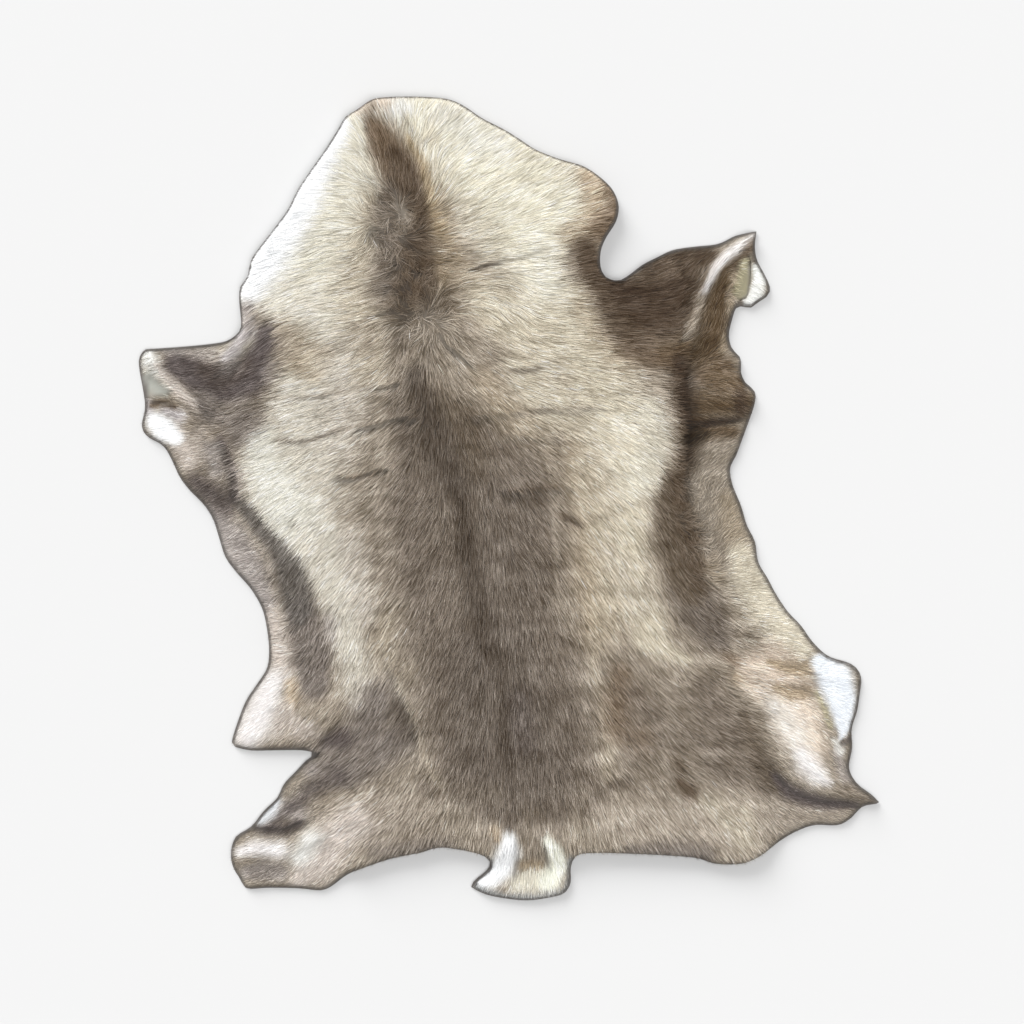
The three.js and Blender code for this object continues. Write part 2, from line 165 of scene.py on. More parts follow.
# Folds and creases in mm: rise (down for a crease), half width, whether the skin lifts, and the run.
FOLDS: dict[str, tuple[float, float, bool, Points]] = {
    "right_foreleg": (10, 8, True, [
        (258, 240), (270, 285), (287, 322), (316, 354), (345, 382), (360, 394)]),
    "right_shoulder": (-9, 6, False, [
        (263, 225), (252, 185), (254, 148), (257, 110), (255, 73), (254, 35), (259, -2)]),
    "right_elbow_upper": (5, 17, False, [(276, 190), (302, 199), (332, 196)]),
    "right_elbow_lower": (5, 14, False, [(286, 142), (321, 149), (352, 153)]),
    "right_elbow": (-7, 6, False, [(266, 106), (288, 112), (316, 115), (350, 117)]),
    "left_foreleg": (8, 7, True, [
        (-541, 214), (-524, 187), (-497, 160), (-470, 137), (-449, 112), (-446, 94)]),
    "left_foreleg_crease": (-5, 4, False, [(-541, 136), (-529, 144), (-511, 143), (-497, 133)]),
    "left_shoulder": (7, 9, False, [(-433, 208), (-417, 221), (-406, 241)]),
    "left_shoulder_crease": (-6, 12, False, [
        (-427, 181), (-395, 205), (-374, 241), (-365, 262)]),
    "left_flank": (-5, 8, False, [(-448, 91), (-431, 58), (-419, 28), (-410, 5)]),
    "left_elbow": (-3, 8, False, [(-455, 10), (-410, 2)]),
    "left_flap": (4, 14, False, [(-392, -355), (-317, -359)]),
    "left_flap_crease": (-6, 9, False, [(-264, -340), (-272, -362), (-284, -380)]),
    "left_stifle": (-5, 8, False, [
        (-342, -448), (-320, -434), (-290, -424), (-249, -421), (-219, -427)]),
    "left_hock": (3, 8, False, [(-379, -488), (-362, -464), (-344, -449)]),
    "left_hind_crease": (-6, 8, False, [
        (-406, -506), (-374, -500), (-342, -505), (-317, -496), (-293, -479)]),
    "left_hind": (6, 12, True, [
        (-412, -532), (-374, -521), (-332, -521), (-290, -500), (-249, -475)]),
    "left_hind_lower": (-4, 8, False, [(-399, -554), (-365, -548), (-332, -551)]),
    "right_hind": (9, 13, True, [
        (362, -287), (396, -326), (426, -370), (452, -404), (490, -431), (539, -449)]),
    "right_hind_crease": (-7, 8, False, [
        (374, -392), (411, -425), (446, -445), (493, -455), (540, -458)]),
    "right_stifle": (4, 14, False, [(336, -258), (381, -264), (434, -262)]),
    "right_stifle_crease": (-4, 7, False, [(345, -234), (400, -242), (436, -250)]),
    "right_hind_cut": (-4, 4, False, [(466, -290), (478, -320), (490, -356), (502, -382)]),
    "left_haunch": (3, 9, False, [
        (-188, -250), (-173, -287), (-149, -326), (-131, -370), (-119, -419), (-89, -455)]),
    "left_haunch_crease": (-4, 10, False, [
        (-191, -287), (-170, -320), (-146, -362), (-137, -400), (-113, -440)]),
    "right_haunch_crease": (-3, 14, False, [(144, -235), (131, -302), (122, -370), (116, -437)]),
    "tail_left_parting": (-4, 7, False, [(12, -523), (10, -572)]),
    "tail_right_parting": (-4, 7, False, [(50, -520), (62, -557)]),
    "neck_wrinkle": (-3, 5, False, [(-72, 337), (-24, 350), (14, 358), (56, 371)]),
    "left_back_wrinkle": (-2, 6, False, [(-339, 86), (-309, 83), (-279, 92), (-249, 106)]),
    "left_loin_wrinkle": (-2, 6, False, [(-257, 31), (-234, 28), (-211, 37), (-189, 43)]),
    "middle_back_wrinkle": (-2, 6, False, [(-121, 118), (0, 126), (118, 140)]),
}


class Tone(Enum):
    """Shades of the coat and skin as a dyer would match them, in eight-bit red, green, blue."""

    SNOW = (251, 252, 253)
    CHALK = (240, 240, 236)
    BLUE_WHITE = (234, 238, 243)
    IVORY = (233, 227, 209)
    PETAL = (239, 235, 233)
    MILK = (237, 230, 221)
    TUFT = (243, 243, 230)
    PEARL = (226, 223, 212)
    CREAM = (226, 221, 206)
    OAT = (214, 208, 195)
    LINEN = (201, 193, 181)
    PALE = (217, 209, 191)
    SAND = (203, 194, 175)
    ROSE = (206, 196, 187)
    BLUSH = (224, 209, 193)
    LILAC = (200, 194, 194)
    FAWN = (174, 163, 149)
    BEIGE = (184, 173, 154)
    BUFF = (172, 158, 137)
    TAN = (190, 171, 146)
    GOLD = (163, 142, 108)
    WHEAT = (168, 150, 124)
    PEWTER = (176, 177, 176)
    STONE = (158, 147, 132)
    MAUVE = (172, 164, 158)
    TAUPE = (140, 129, 115)
    ASH = (127, 118, 110)
    DEEP_TAUPE = (110, 100, 90)
    DRAB = (120, 109, 97)
    PLUM_BROWN = (99, 90, 87)
    SLATE = (103, 97, 91)
    HAZEL = (119, 102, 84)
    BARK = (104, 92, 78)
    RUSSET = (99, 82, 62)
    UMBER = (91, 77, 63)
    PEPPER = (88, 78, 68)
    SEPIA = (75, 61, 49)
    PEAT = (54, 44, 32)
    HIDE_OLIVE = (183, 176, 147)
    HIDE_GREEN = (186, 187, 178)


# One brush stroke of colour: shade, softness of its edge, strength, and points as (right, down,
# half width) in squares.
Stroke = tuple[Tone, float, float, list[tuple[float, float, float]]]
MARKS: dict[str, Stroke] = {
    # neck
    "neck_left_field": (Tone.CREAM, 0.8, 1, [
        (352, 125, 26), (325, 180, 60), (300, 240, 78), (300, 300, 72)]),
    "neck_left_low": (Tone.OAT, 0.9, 0.8, [(288, 305, 26), (300, 330, 34)]),
    "neck_left_mid": (Tone.OAT, 0.9, 0.8, [(315, 292, 7), (315, 310, 11)]),
    "neck_left_inner": (Tone.BEIGE, 0.9, 0.75, [
        (372, 200, 8), (366, 225, 12), (364, 260, 20), (362, 300, 28), (366, 335, 24)]),
    "neck_left_white": (Tone.SNOW, 0.7, 1, [
        (346, 126, 6), (328, 158, 11), (306, 197, 17), (284, 236, 20), (262, 272, 19), (252, 292, 14)]),
    "neck_right_field": (Tone.IVORY, 0.7, 1, [
        (430, 118, 30), (480, 160, 55), (530, 200, 62), (552, 240, 56), (556, 290, 45)]),
    "neck_right_inner": (Tone.BUFF, 0.9, 0.7, [
        (440, 188, 3), (446, 208, 5), (450, 240, 8), (458, 270, 14), (466, 300, 18), (464, 322, 14)]),
    "neck_right_low": (Tone.BEIGE, 0.9, 0.85, [(462, 290, 18), (490, 312, 20), (520, 330, 18)]),
    "neck_right_glow": (Tone.IVORY, 0.9, 0.5, [(490, 246, 10), (486, 256, 6)]),
    "neck_right_tan": (Tone.TAN, 0.9, 0.8, [
        (585, 178, 8), (597, 196, 13), (596, 216, 15), (585, 232, 13)]),
    "neck_right_rim": (Tone.HAZEL, 0.9, 1, [
        (604, 180, 4), (614, 200, 7), (612, 218, 9), (600, 234, 13)]),
    "neck_right_shade": (Tone.BUFF, 0.9, 0.9, [(570, 236, 12), (578, 262, 16), (584, 286, 16)]),
    "neck_right_fold": (Tone.TAUPE, 0.9, 0.7, [(571, 254, 8), (572, 270, 13)]),
    "crown_white": (Tone.CHALK, 0.8, 0.7, [(394, 110, 10), (410, 110, 6)]),
    "crown_warm": (Tone.BLUSH, 0.8, 0.8, [(352, 114, 5), (366, 108, 8), (386, 103, 8)]),
    "crown_shade": (Tone.PALE, 0.9, 0.7, [(446, 110, 8), (430, 130, 8), (434, 148, 7)]),
    "crown_cool": (Tone.PEARL, 0.9, 0.7, [(442, 118, 12), (470, 136, 16), (498, 152, 12)]),
    "stripe_crown": (Tone.TAUPE, 0.7, 0.9, [
        (374, 108, 4), (368, 120, 6), (374, 130, 9), (384, 143, 12)]),
    "stripe_soft": (Tone.HAZEL, 0.6, 1, [(376, 130, 9), (385, 147, 15), (395, 163, 18), (404, 180, 19)]),
    "cowlick": (Tone.DRAB, 0.8, 1, [
        (392, 188, 8), (388, 212, 14), (389, 238, 15), (390, 262, 15), (390, 290, 19)]),
    "neck_stripe": (Tone.UMBER, 0.6, 0.92, [
        (394, 158, 9), (403, 175, 14), (415, 196, 11), (423, 215, 10), (422, 235, 14), (418, 255, 19),
        (419, 275, 21), (414, 300, 20), (406, 308, 15)]),
    "cowlick_light": (Tone.STONE, 0.9, 0.5, [(396, 206, 8), (402, 211, 5)]),
    "cowlick_dark": (Tone.BARK, 0.9, 0.5, [(402, 230, 8)]),
    "cowlick_side": (Tone.STONE, 0.9, 0.5, [(384, 222, 8)]),
    "stripe_gold": (Tone.GOLD, 0.9, 0.6, [
        (408, 140, 3), (424, 168, 4), (431, 196, 5), (439, 228, 6), (447, 262, 9), (452, 290, 9)]),
    "stripe_fold": (Tone.TAUPE, 0.9, 0.6, [
        (441, 244, 6), (450, 266, 7), (456, 288, 10), (466, 304, 10)]),
    # withers and upper flanks
    "left_upper_field": (Tone.OAT, 0.9, 0.9, [
        (292, 330, 30), (300, 380, 50), (300, 430, 56), (300, 480, 50)]),
    "left_upper_warm": (Tone.BUFF, 0.9, 0.7, [(285, 330, 12), (305, 348, 14), (330, 356, 10)]),
    "left_upper_shade": (Tone.BUFF, 0.9, 0.75, [(276, 344, 10), (298, 364, 12), (318, 376, 8)]),
    "left_inner_field": (Tone.LINEN, 0.9, 0.7, [(352, 360, 24), (352, 400, 24), (345, 440, 24)]),
    "left_middle_field": (Tone.STONE, 0.9, 0.9, [
        (388, 400, 16), (382, 440, 20), (368, 480, 22), (362, 518, 17)]),
    "left_back_dark": (Tone.DRAB, 0.9, 1, [(402, 396, 12), (404, 420, 12), (409, 446, 10)]),
    "withers_left": (Tone.BEIGE, 0.9, 0.8, [(372, 340, 18), (372, 372, 18)]),
    "withers_grey": (Tone.STONE, 0.9, 0.5, [(366, 332, 14), (370, 346, 9)]),
    "withers_middle": (Tone.TAUPE, 0.9, 0.9, [(402, 345, 14), (408, 372, 16), (418, 395, 18)]),
    "whorl_dark": (Tone.BARK, 0.9, 0.8, [
        (396, 310, 11), (410, 314, 10), (428, 310, 11), (446, 306, 12), (448, 296, 9)]),
    "whorl_left": (Tone.DRAB, 0.9, 0.4, [(394, 326, 12), (400, 338, 10)]),
    "whorl": (Tone.TAUPE, 0.9, 0.9, [(430, 322, 14), (436, 345, 16), (425, 368, 14)]),
    "whorl_pit": (Tone.TAUPE, 0.9, 0.8, [(450, 340, 6), (458, 350, 8), (466, 361, 6)]),
    "withers_right": (Tone.SAND, 0.9, 0.9, [(490, 300, 20), (515, 325, 24), (545, 345, 20)]),
    "below_whorl": (Tone.STONE, 0.9, 0.8, [(456, 335, 14), (470, 352, 16), (492, 366, 14)]),
    "below_whorl_dim": (Tone.TAUPE, 0.9, 0.7, [(468, 328, 9)]),
    "right_back_light": (Tone.SAND, 0.9, 0.9, [
        (520, 368, 16), (536, 394, 24), (560, 410, 24), (560, 432, 14)]),
    "right_back_top": (Tone.BUFF, 0.9, 0.8, [(486, 384, 14), (496, 404, 14), (520, 430, 18)]),
    "withers_low": (Tone.TAUPE, 0.9, 0.5, [(462, 386, 8), (474, 398, 10), (484, 408, 8)]),
    "right_back_field": (Tone.BUFF, 0.9, 0.9, [
        (568, 455, 22), (586, 490, 22), (594, 530, 28), (598, 575, 32), (592, 620, 26)]),
    "right_back_warm": (Tone.BEIGE, 0.9, 0.8, [
        (582, 464, 12), (590, 495, 16), (600, 530, 16), (606, 575, 14), (606, 618, 12)]),
    "right_back_pale": (Tone.PALE, 0.9, 0.5, [(580, 428, 12), (586, 434, 10)]),
    "right_back_glow": (Tone.BEIGE, 0.9, 0.7, [(530, 428, 11)]),
    "right_back_honey": (Tone.SAND, 0.9, 0.4, [(598, 505, 10), (602, 535, 10)]),
    "right_cream_upper": (Tone.SAND, 0.8, 1, [
        (560, 286, 26), (564, 310, 32), (582, 345, 36), (600, 385, 36), (612, 425, 28)]),
    "right_cream_pale": (Tone.PALE, 0.9, 1, [
        (626, 420, 24), (626, 455, 30), (632, 490, 24), (640, 515, 12)]),
    "right_cream_top": (Tone.CREAM, 0.8, 1, [(543, 262, 17), (548, 288, 16)]),
    "right_cream_warm": (Tone.BUFF, 0.9, 0.6, [(582, 308, 10), (602, 340, 14), (622, 366, 12)]),
    "right_cream_fold": (Tone.TAUPE, 0.9, 0.6, [(572, 256, 7), (574, 270, 12)]),
    "right_cream_edge": (Tone.CREAM, 0.6, 0.7, [
        (650, 412, 13), (656, 430, 13), (654, 452, 14), (643, 480, 14), (636, 498, 9)]),
    "right_cream_lower": (Tone.SAND, 0.85, 1, [
        (634, 516, 18), (630, 540, 22), (630, 570, 22), (638, 605, 18), (652, 630, 14)]),
    "right_cream_end": (Tone.SAND, 0.9, 0.9, [(646, 640, 13), (664, 650, 9), (686, 660, 5)]),
    "right_cream_dim": (Tone.STONE, 0.9, 0.4, [
        (650, 502, 9), (652, 535, 10), (652, 570, 12), (640, 608, 12), (612, 556, 12)]),
    "left_cream_band": (Tone.PEARL, 0.6, 1, [
        (262, 440, 14), (264, 465, 17), (276, 492, 24), (294, 520, 28), (312, 545, 26)]),
    "left_cream_lower": (Tone.OAT, 0.7, 1, [
        (314, 548, 24), (326, 568, 24), (336, 592, 20), (344, 618, 18), (350, 640, 12)]),
    "left_cream_end": (Tone.OAT, 0.9, 0.9, [
        (346, 636, 14), (354, 660, 17), (360, 686, 16), (358, 704, 9)]),
    "left_inner_low": (Tone.MAUVE, 0.9, 0.7, [(330, 622, 8), (331, 634, 7)]),
    "left_inner_end": (Tone.ASH, 0.9, 0.6, [(328, 646, 7), (328, 655, 8)]),
    "left_cream_fade": (Tone.LINEN, 0.9, 0.8, [
        (350, 535, 10), (356, 560, 14), (362, 590, 14), (368, 616, 10)]),
    # back and spine
    "saddle": (Tone.DRAB, 0.25, 1, [
        (458, 482, 66), (474, 520, 90), (476, 560, 90), (484, 600, 84), (496, 640, 81), (502, 690, 82),
        (512, 740, 80), (524, 782, 58)]),
    "saddle_rump": (Tone.DEEP_TAUPE, 0.5, 0.85, [(492, 665, 46), (505, 710, 56), (512, 758, 58)]),
    "saddle_middle": (Tone.DEEP_TAUPE, 0.5, 0.5, [(504, 506, 28), (504, 560, 34), (506, 610, 38)]),
    "saddle_end": (Tone.TAUPE, 0.9, 0.5, [(468, 792, 12), (494, 794, 12)]),
    "saddle_right_light": (Tone.STONE, 0.9, 0.7, [
        (558, 440, 10), (556, 590, 0.1), (563, 604, 12), (570, 622, 10)]),
    "saddle_right_low": (Tone.DRAB, 0.9, 0.8, [(586, 770, 10), (598, 790, 12), (590, 812, 10)]),
    "saddle_left_light": (Tone.STONE, 0.9, 0.55, [(386, 530, 12), (388, 575, 14), (404, 620, 10)]),
    "spine_wide": (Tone.BARK, 0.9, 0.8, [(440, 395, 14), (462, 420, 16), (468, 452, 20)]),
    "spine_upper": (Tone.PEPPER, 0.8, 0.9, [
        (415, 378, 10), (424, 405, 14), (434, 432, 15), (446, 462, 17), (456, 485, 13)]),
    "spine_lower": (Tone.PEPPER, 0.8, 0.8, [
        (458, 490, 9), (464, 520, 9), (468, 560, 10), (478, 600, 11), (492, 650, 10), (508, 695, 8),
        (502, 740, 7), (512, 770, 5)]),
    "spine_side": (Tone.PLUM_BROWN, 0.9, 0.35, [(520, 700, 12), (524, 742, 12)]),
    "saddle_low_right": (Tone.PEPPER, 0.9, 0.4, [(568, 752, 11), (566, 770, 8)]),
    "right_smudge": (Tone.BARK, 0.8, 0.8, [(560, 515, 5), (572, 520, 5), (580, 526, 3)]),
    # left haunch and rear
    "left_haunch_light": (Tone.BEIGE, 0.9, 0.6, [(390, 618, 10), (384, 640, 12), (388, 660, 8)]),
    "left_haunch_glow": (Tone.BEIGE, 0.9, 0.4, [(408, 668, 9)]),
    "left_haunch_field": (Tone.ASH, 0.8, 0.9, [
        (378, 698, 18), (366, 738, 25), (362, 760, 18), (398, 736, 18)]),
    "left_haunch_dim": (Tone.DEEP_TAUPE, 0.9, 0.4, [(350, 748, 12), (362, 756, 10)]),
    "left_haunch_line": (Tone.BEIGE, 0.9, 0.45, [
        (398, 684, 3), (408, 705, 3), (416, 728, 3), (425, 752, 3.5), (436, 775, 4), (447, 796, 3.5)]),
    "left_haunch_dark": (Tone.DEEP_TAUPE, 0.9, 0.9, [(399, 702, 7), (404, 732, 8)]),
    "left_haunch_spot": (Tone.DRAB, 0.8, 0.9, [(425, 787, 8), (440, 796, 8)]),
    "left_rear_field": (Tone.FAWN, 0.8, 1, [
        (345, 812, 14), (380, 812, 24), (420, 818, 24), (460, 828, 18), (490, 830, 12)]),
    "left_rear_rose": (Tone.ROSE, 0.9, 0.5, [(368, 828, 12)]),
    "left_rear_dim": (Tone.TAUPE, 0.9, 0.4, [(418, 834, 14), (440, 836, 10)]),
    "left_rear_edge": (Tone.ASH, 0.9, 0.6, [(375, 850, 7), (410, 847, 8), (450, 842, 7)]),
    "left_rear_inner": (Tone.STONE, 0.9, 0.8, [(426, 802, 10), (446, 816, 15), (466, 832, 12)]),
    # right haunch and rear
    "right_haunch_line": (Tone.BEIGE, 0.9, 0.45, [
        (596, 640, 9), (593, 665, 5), (600, 700, 3), (610, 740, 6), (607, 775, 6)]),
    "right_haunch_field": (Tone.TAUPE, 0.7, 1, [
        (626, 672, 20), (652, 708, 36), (690, 735, 44), (680, 770, 32), (640, 775, 24)]),
    "right_haunch_brown": (Tone.HAZEL, 0.9, 0.7, [
        (620, 672, 9), (622, 700, 19), (620, 724, 16), (640, 738, 13)]),
    "right_haunch_mid": (Tone.DRAB, 0.9, 0.7, [(634, 692, 12), (650, 712, 14)]),
    "right_haunch_dim": (Tone.DRAB, 0.9, 0.5, [
        (634, 712, 10), (630, 746, 8), (626, 764, 5), (662, 736, 10), (694, 734, 16), (710, 750, 12)]),
    "right_haunch_deep": (Tone.DRAB, 0.9, 0.85, [
        (706, 690, 16), (722, 722, 20), (742, 752, 18), (764, 782, 16), (790, 794, 9)]),
    "right_haunch_edge": (Tone.BARK, 0.9, 0.6, [
        (742, 712, 6), (752, 742, 9), (768, 770, 9), (784, 788, 7)]),
    "right_haunch_low": (Tone.DRAB, 0.9, 0.8, [(712, 762, 10), (732, 778, 10)]),
    "rear_right_field": (Tone.FAWN, 0.8, 1, [
        (605, 822, 16), (660, 822, 24), (710, 828, 26), (760, 822, 24), (802, 812, 14), (835, 812, 9)]),
    "rear_right_edge": (Tone.ASH, 0.7, 1, [
        (630, 852, 8), (650, 852, 12), (680, 852, 14), (702, 853, 11)]),
    "rear_right_dim": (Tone.TAUPE, 0.9, 0.35, [(640, 830, 14), (700, 830, 18), (748, 828, 12)]),
    "rear_right_inner": (Tone.STONE, 0.9, 0.7, [(572, 830, 8), (588, 828, 9), (600, 834, 9)]),
    "rear_middle": (Tone.FAWN, 0.9, 0.8, [(546, 828, 8)]),
    "rear_top": (Tone.TAUPE, 0.9, 0.6, [(528, 812, 8), (536, 814, 8)]),
    "rear_right_pale": (Tone.SAND, 0.9, 0.55, [
        (706, 798, 8), (728, 818, 12), (745, 838, 12), (744, 812, 8)]),
    "rear_right_tip": (Tone.TAUPE, 0.9, 0.3, [
        (790, 812, 6), (812, 812, 9), (834, 810, 8), (850, 808, 4)]),
    "spot_left": (Tone.DRAB, 0.8, 0.8, [(612, 783, 5), (630, 780, 5)]),
    "spot_upper": (Tone.BARK, 0.8, 0.8, [(676, 762, 6), (682, 768, 5)]),
    "spot_lower": (Tone.UMBER, 0.8, 0.85, [(678, 780, 4), (690, 790, 8)]),
    # left belly, flank and flap
    "left_belly": (Tone.MAUVE, 0.6, 1, [(208, 516, 12), (228, 542, 22), (248, 572, 20), (264, 602, 14)]),
    "left_belly_low": (Tone.ROSE, 0.8, 0.9, [(272, 620, 12), (281, 648, 12), (285, 672, 12)]),
    "left_flap": (Tone.PETAL, 0.8, 1, [(274, 680, 11), (266, 698, 17), (258, 720, 19), (248, 736, 14)]),
    "left_flap_rose": (Tone.ROSE, 0.9, 0.8, [
        (280, 728, 8), (288, 704, 7), (290, 718, 9), (300, 728, 10), (312, 730, 8)]),
    "left_flap_tan": (Tone.TAN, 0.9, 0.8, [(292, 684, 6), (295, 698, 7)]),
    "left_flap_grey": (Tone.TAUPE, 0.9, 0.7, [(303, 694, 6), (308, 708, 7)]),
    "left_flap_shade": (Tone.PLUM_BROWN, 0.9, 0.9, [(328, 742, 8), (342, 738, 11)]),
    # painted shade along the flap's lifted lower edge
    "left_flap_low_shade": (Tone.ASH, 0.9, 0.5, [(264, 750, 3), (284, 749, 5), (304, 748, 7), (322, 746, 7)]),
    "left_stripe_low": (Tone.ASH, 0.4, 0.95, [
        (302, 612, 16), (309, 640, 18), (313, 664, 18), (316, 684, 14)]),
    "left_dark_stripe": (Tone.SLATE, 0.4, 0.88, [
        (235, 497, 5), (248, 511, 6), (263, 530, 7), (279, 549, 9), (289, 568, 14), (296, 588, 16),
        (300, 606, 15), (301, 618, 8)]),
    # left foreleg
    "left_shoulder_haze": (Tone.TAUPE, 0.9, 0.9, [
        (258, 318, 9), (276, 347, 17), (266, 380, 14), (248, 415, 14)]),
    "left_shoulder_top": (Tone.MAUVE, 0.7, 1, [(246, 312, 9), (250, 332, 10)]),
    "left_shoulder_mid": (Tone.ASH, 0.8, 0.9, [(246, 420, 17), (236, 440, 10)]),
    "left_shoulder_dark": (Tone.PLUM_BROWN, 0.5, 1, [
        (268, 332, 7), (264, 350, 10), (250, 378, 19), (222, 386, 19), (196, 374, 17), (176, 364, 12)]),
    "left_shoulder_core": (Tone.UMBER, 0.9, 0.3, [(246, 366, 8), (222, 380, 10), (205, 370, 8)]),
    "left_shoulder_soft": (Tone.MAUVE, 0.9, 0.5, [(228, 368, 9), (238, 366, 7)]),
    "left_shoulder_side": (Tone.MAUVE, 0.9, 0.45, [(273, 366, 7), (271, 376, 7)]),
    "left_shoulder_deep": (Tone.PLUM_BROWN, 0.9, 0.8, [(268, 346, 8)]),
    "left_shoulder_light": (Tone.LILAC, 0.8, 0.85, [(226, 358, 5), (236, 350, 7), (243, 336, 6)]),
    "left_leg_top": (Tone.MAUVE, 0.9, 0.7, [(165, 352, 4), (190, 352, 5), (212, 354, 7)]),
    "left_elbow_field": (Tone.ASH, 0.8, 1, [(204, 404, 12), (218, 424, 16)]),
    "left_elbow_low": (Tone.TAUPE, 0.7, 1, [(212, 440, 16), (214, 458, 18), (212, 478, 18)]),
    "left_elbow_light": (Tone.ROSE, 0.9, 0.9, [(178, 432, 7), (184, 448, 11), (190, 462, 9)]),
    "left_elbow_rose": (Tone.ROSE, 0.9, 0.5, [(200, 436, 8), (202, 450, 9)]),
    "left_elbow_mauve": (Tone.MAUVE, 0.9, 0.85, [(213, 450, 8), (217, 470, 8)]),
    "left_elbow_dark": (Tone.PLUM_BROWN, 0.9, 0.8, [(196, 482, 8), (214, 496, 11), (226, 508, 9)]),
    "left_flank_shade": (Tone.PLUM_BROWN, 0.8, 0.65, [
        (222, 440, 5), (230, 458, 6), (236, 478, 7), (234, 496, 7)]),
    "left_tip_white": (Tone.CHALK, 0.8, 1, [(148, 353, 6), (151, 362, 8), (156, 372, 5)]),
    "left_ridge": (Tone.ROSE, 0.8, 1, [(156, 367, 4), (168, 380, 5), (182, 394, 5), (194, 404, 4)]),
    "left_tip_skin": (Tone.HIDE_GREEN, 0.7, 1, [(148, 380, 8), (156, 388, 8), (166, 392, 5)]),
    "left_tip_grey": (Tone.LILAC, 0.8, 0.9, [(146, 399, 4), (149, 412, 5)]),
    "left_tip_fur": (Tone.LILAC, 0.9, 0.9, [(166, 411, 5), (180, 416, 7)]),
    # painted shade in the left foreleg's crease
    "left_crease_shade": (Tone.HAZEL, 0.8, 1, [(152, 405, 2.5), (162, 402, 3), (175, 407, 3)]),
    "left_white_patch": (Tone.SNOW, 0.5, 1, [(156, 422, 10), (164, 430, 13), (176, 438, 8)]),
    # right foreleg
    "right_shoulder": (Tone.UMBER, 0.6, 1, [
        (584, 250, 11), (590, 270, 15), (611, 291, 20), (638, 310, 28), (660, 312, 34),
        (672, 290, 30)]),
    "right_shoulder_core": (Tone.SEPIA, 0.9, 0.8, [(618, 298, 16), (655, 308, 24), (672, 285, 16)]),
    "right_shoulder_low": (Tone.HAZEL, 0.8, 0.9, [(630, 345, 14), (650, 356, 14), (664, 360, 10)]),
    "right_shoulder_edge": (Tone.UMBER, 0.9, 0.85, [(603, 300, 8), (615, 325, 14), (638, 344, 11)]),
    "right_pit": (Tone.RUSSET, 0.8, 0.95, [
        (668, 356, 10), (682, 352, 14), (704, 356, 14), (724, 366, 8)]),
    "right_leg_top": (Tone.UMBER, 0.7, 1, [(650, 272, 12), (680, 264, 16), (706, 257, 12)]),
    "right_leg_face": (Tone.RUSSET, 0.7, 1, [
        (733, 262, 5), (722, 288, 10), (714, 318, 14), (711, 346, 13)]),
    "right_leg_edge": (Tone.BUFF, 0.8, 0.7, [(733, 272, 4), (732, 290, 5), (728, 310, 3)]),
    "right_leg_light": (Tone.BUFF, 0.8, 0.7, [(723, 336, 3), (723, 350, 4)]),
    "right_ridge": (Tone.PETAL, 0.6, 0.9, [
        (752, 239, 4), (741, 247, 6), (728, 256, 6), (716, 267, 5), (708, 284, 4), (701, 297, 3.5)]),
    "right_ridge_low": (Tone.STONE, 0.8, 0.95, [(701, 297, 3.5), (694, 316, 3.5), (687, 338, 3)]),
    "right_tip_brown": (Tone.HAZEL, 0.8, 0.8, [(753, 243, 4), (744, 254, 4), (733, 268, 3)]),
    "right_patch": (Tone.HIDE_OLIVE, 0.4, 1, [(745, 262, 4), (744, 276, 7), (741, 292, 7)]),
    "right_fringe": (Tone.CHALK, 0.4, 1, [(755, 268, 4), (759, 282, 7), (755, 296, 7), (748, 304, 5)]),
    "bulge": (Tone.HAZEL, 0.7, 1, [(704, 376, 10), (722, 380, 14), (738, 384, 9)]),
    "bulge_light": (Tone.GOLD, 0.9, 0.25, [(712, 378, 9), (728, 382, 9)]),
    "bulge_dark": (Tone.RUSSET, 0.9, 0.95, [(700, 404, 13), (724, 405, 12), (744, 405, 12)]),
    "bulge_low": (Tone.RUSSET, 0.9, 0.95, [(698, 428, 13), (716, 430, 9), (732, 432, 7)]),
    "bulge_right": (Tone.SEPIA, 0.8, 0.85, [(740, 396, 6), (741, 410, 7)]),
    # right belly and flank
    "belly_right_top": (Tone.STONE, 0.7, 0.85, [
        (722, 452, 11), (722, 470, 13), (720, 505, 13), (716, 530, 14)]),
    # painted shade in the crease below the bulge
    "belly_crease_shade": (Tone.BARK, 0.9, 0.8, [(697, 440, 9), (692, 465, 6)]),
    "belly_right_mid": (Tone.BUFF, 0.9, 0.9, [(728, 500, 9), (733, 525, 12), (738, 544, 10)]),
    "belly_right_low": (Tone.PALE, 0.8, 1, [
        (740, 554, 11), (750, 580, 20), (766, 606, 21), (786, 630, 18), (802, 650, 10)]),
    "belly_right_sand": (Tone.SAND, 0.9, 0.8, [(743, 560, 7), (752, 574, 10)]),
    "right_stripe_low": (Tone.DEEP_TAUPE, 0.6, 0.95, [
        (690, 590, 20), (700, 610, 22), (713, 632, 17), (722, 644, 7)]),
    "right_dark_stripe": (Tone.BARK, 0.45, 1, [
        (672, 480, 9), (670, 505, 17), (675, 535, 22), (682, 565, 21), (690, 590, 15)]),
    "right_stripe_core": (Tone.UMBER, 0.9, 0.6, [
        (680, 498, 9), (688, 530, 12), (695, 562, 11), (698, 585, 8)]),
    "right_stripe_side": (Tone.BUFF, 0.9, 0.5, [(713, 566, 9), (716, 580, 7)]),
    # painted shade: a dark band down the right shoulder's crease
    "shoulder_crease": (Tone.SEPIA, 1.0, 0.95, [
        (678, 362, 9), (681, 382, 11), (684, 402, 10), (688, 425, 8), (688, 442, 7), (686, 455, 6)]),
    # painted shade along the crease at the edge of the cream flank
    "flank_crease_shade": (Tone.UMBER, 1.0, 0.85, [(683, 462, 9), (680, 478, 9), (679, 492, 9)]),
    # painted shade in the right elbow's crease
    "elbow_crease_shade": (Tone.SEPIA, 0.9, 0.95, [
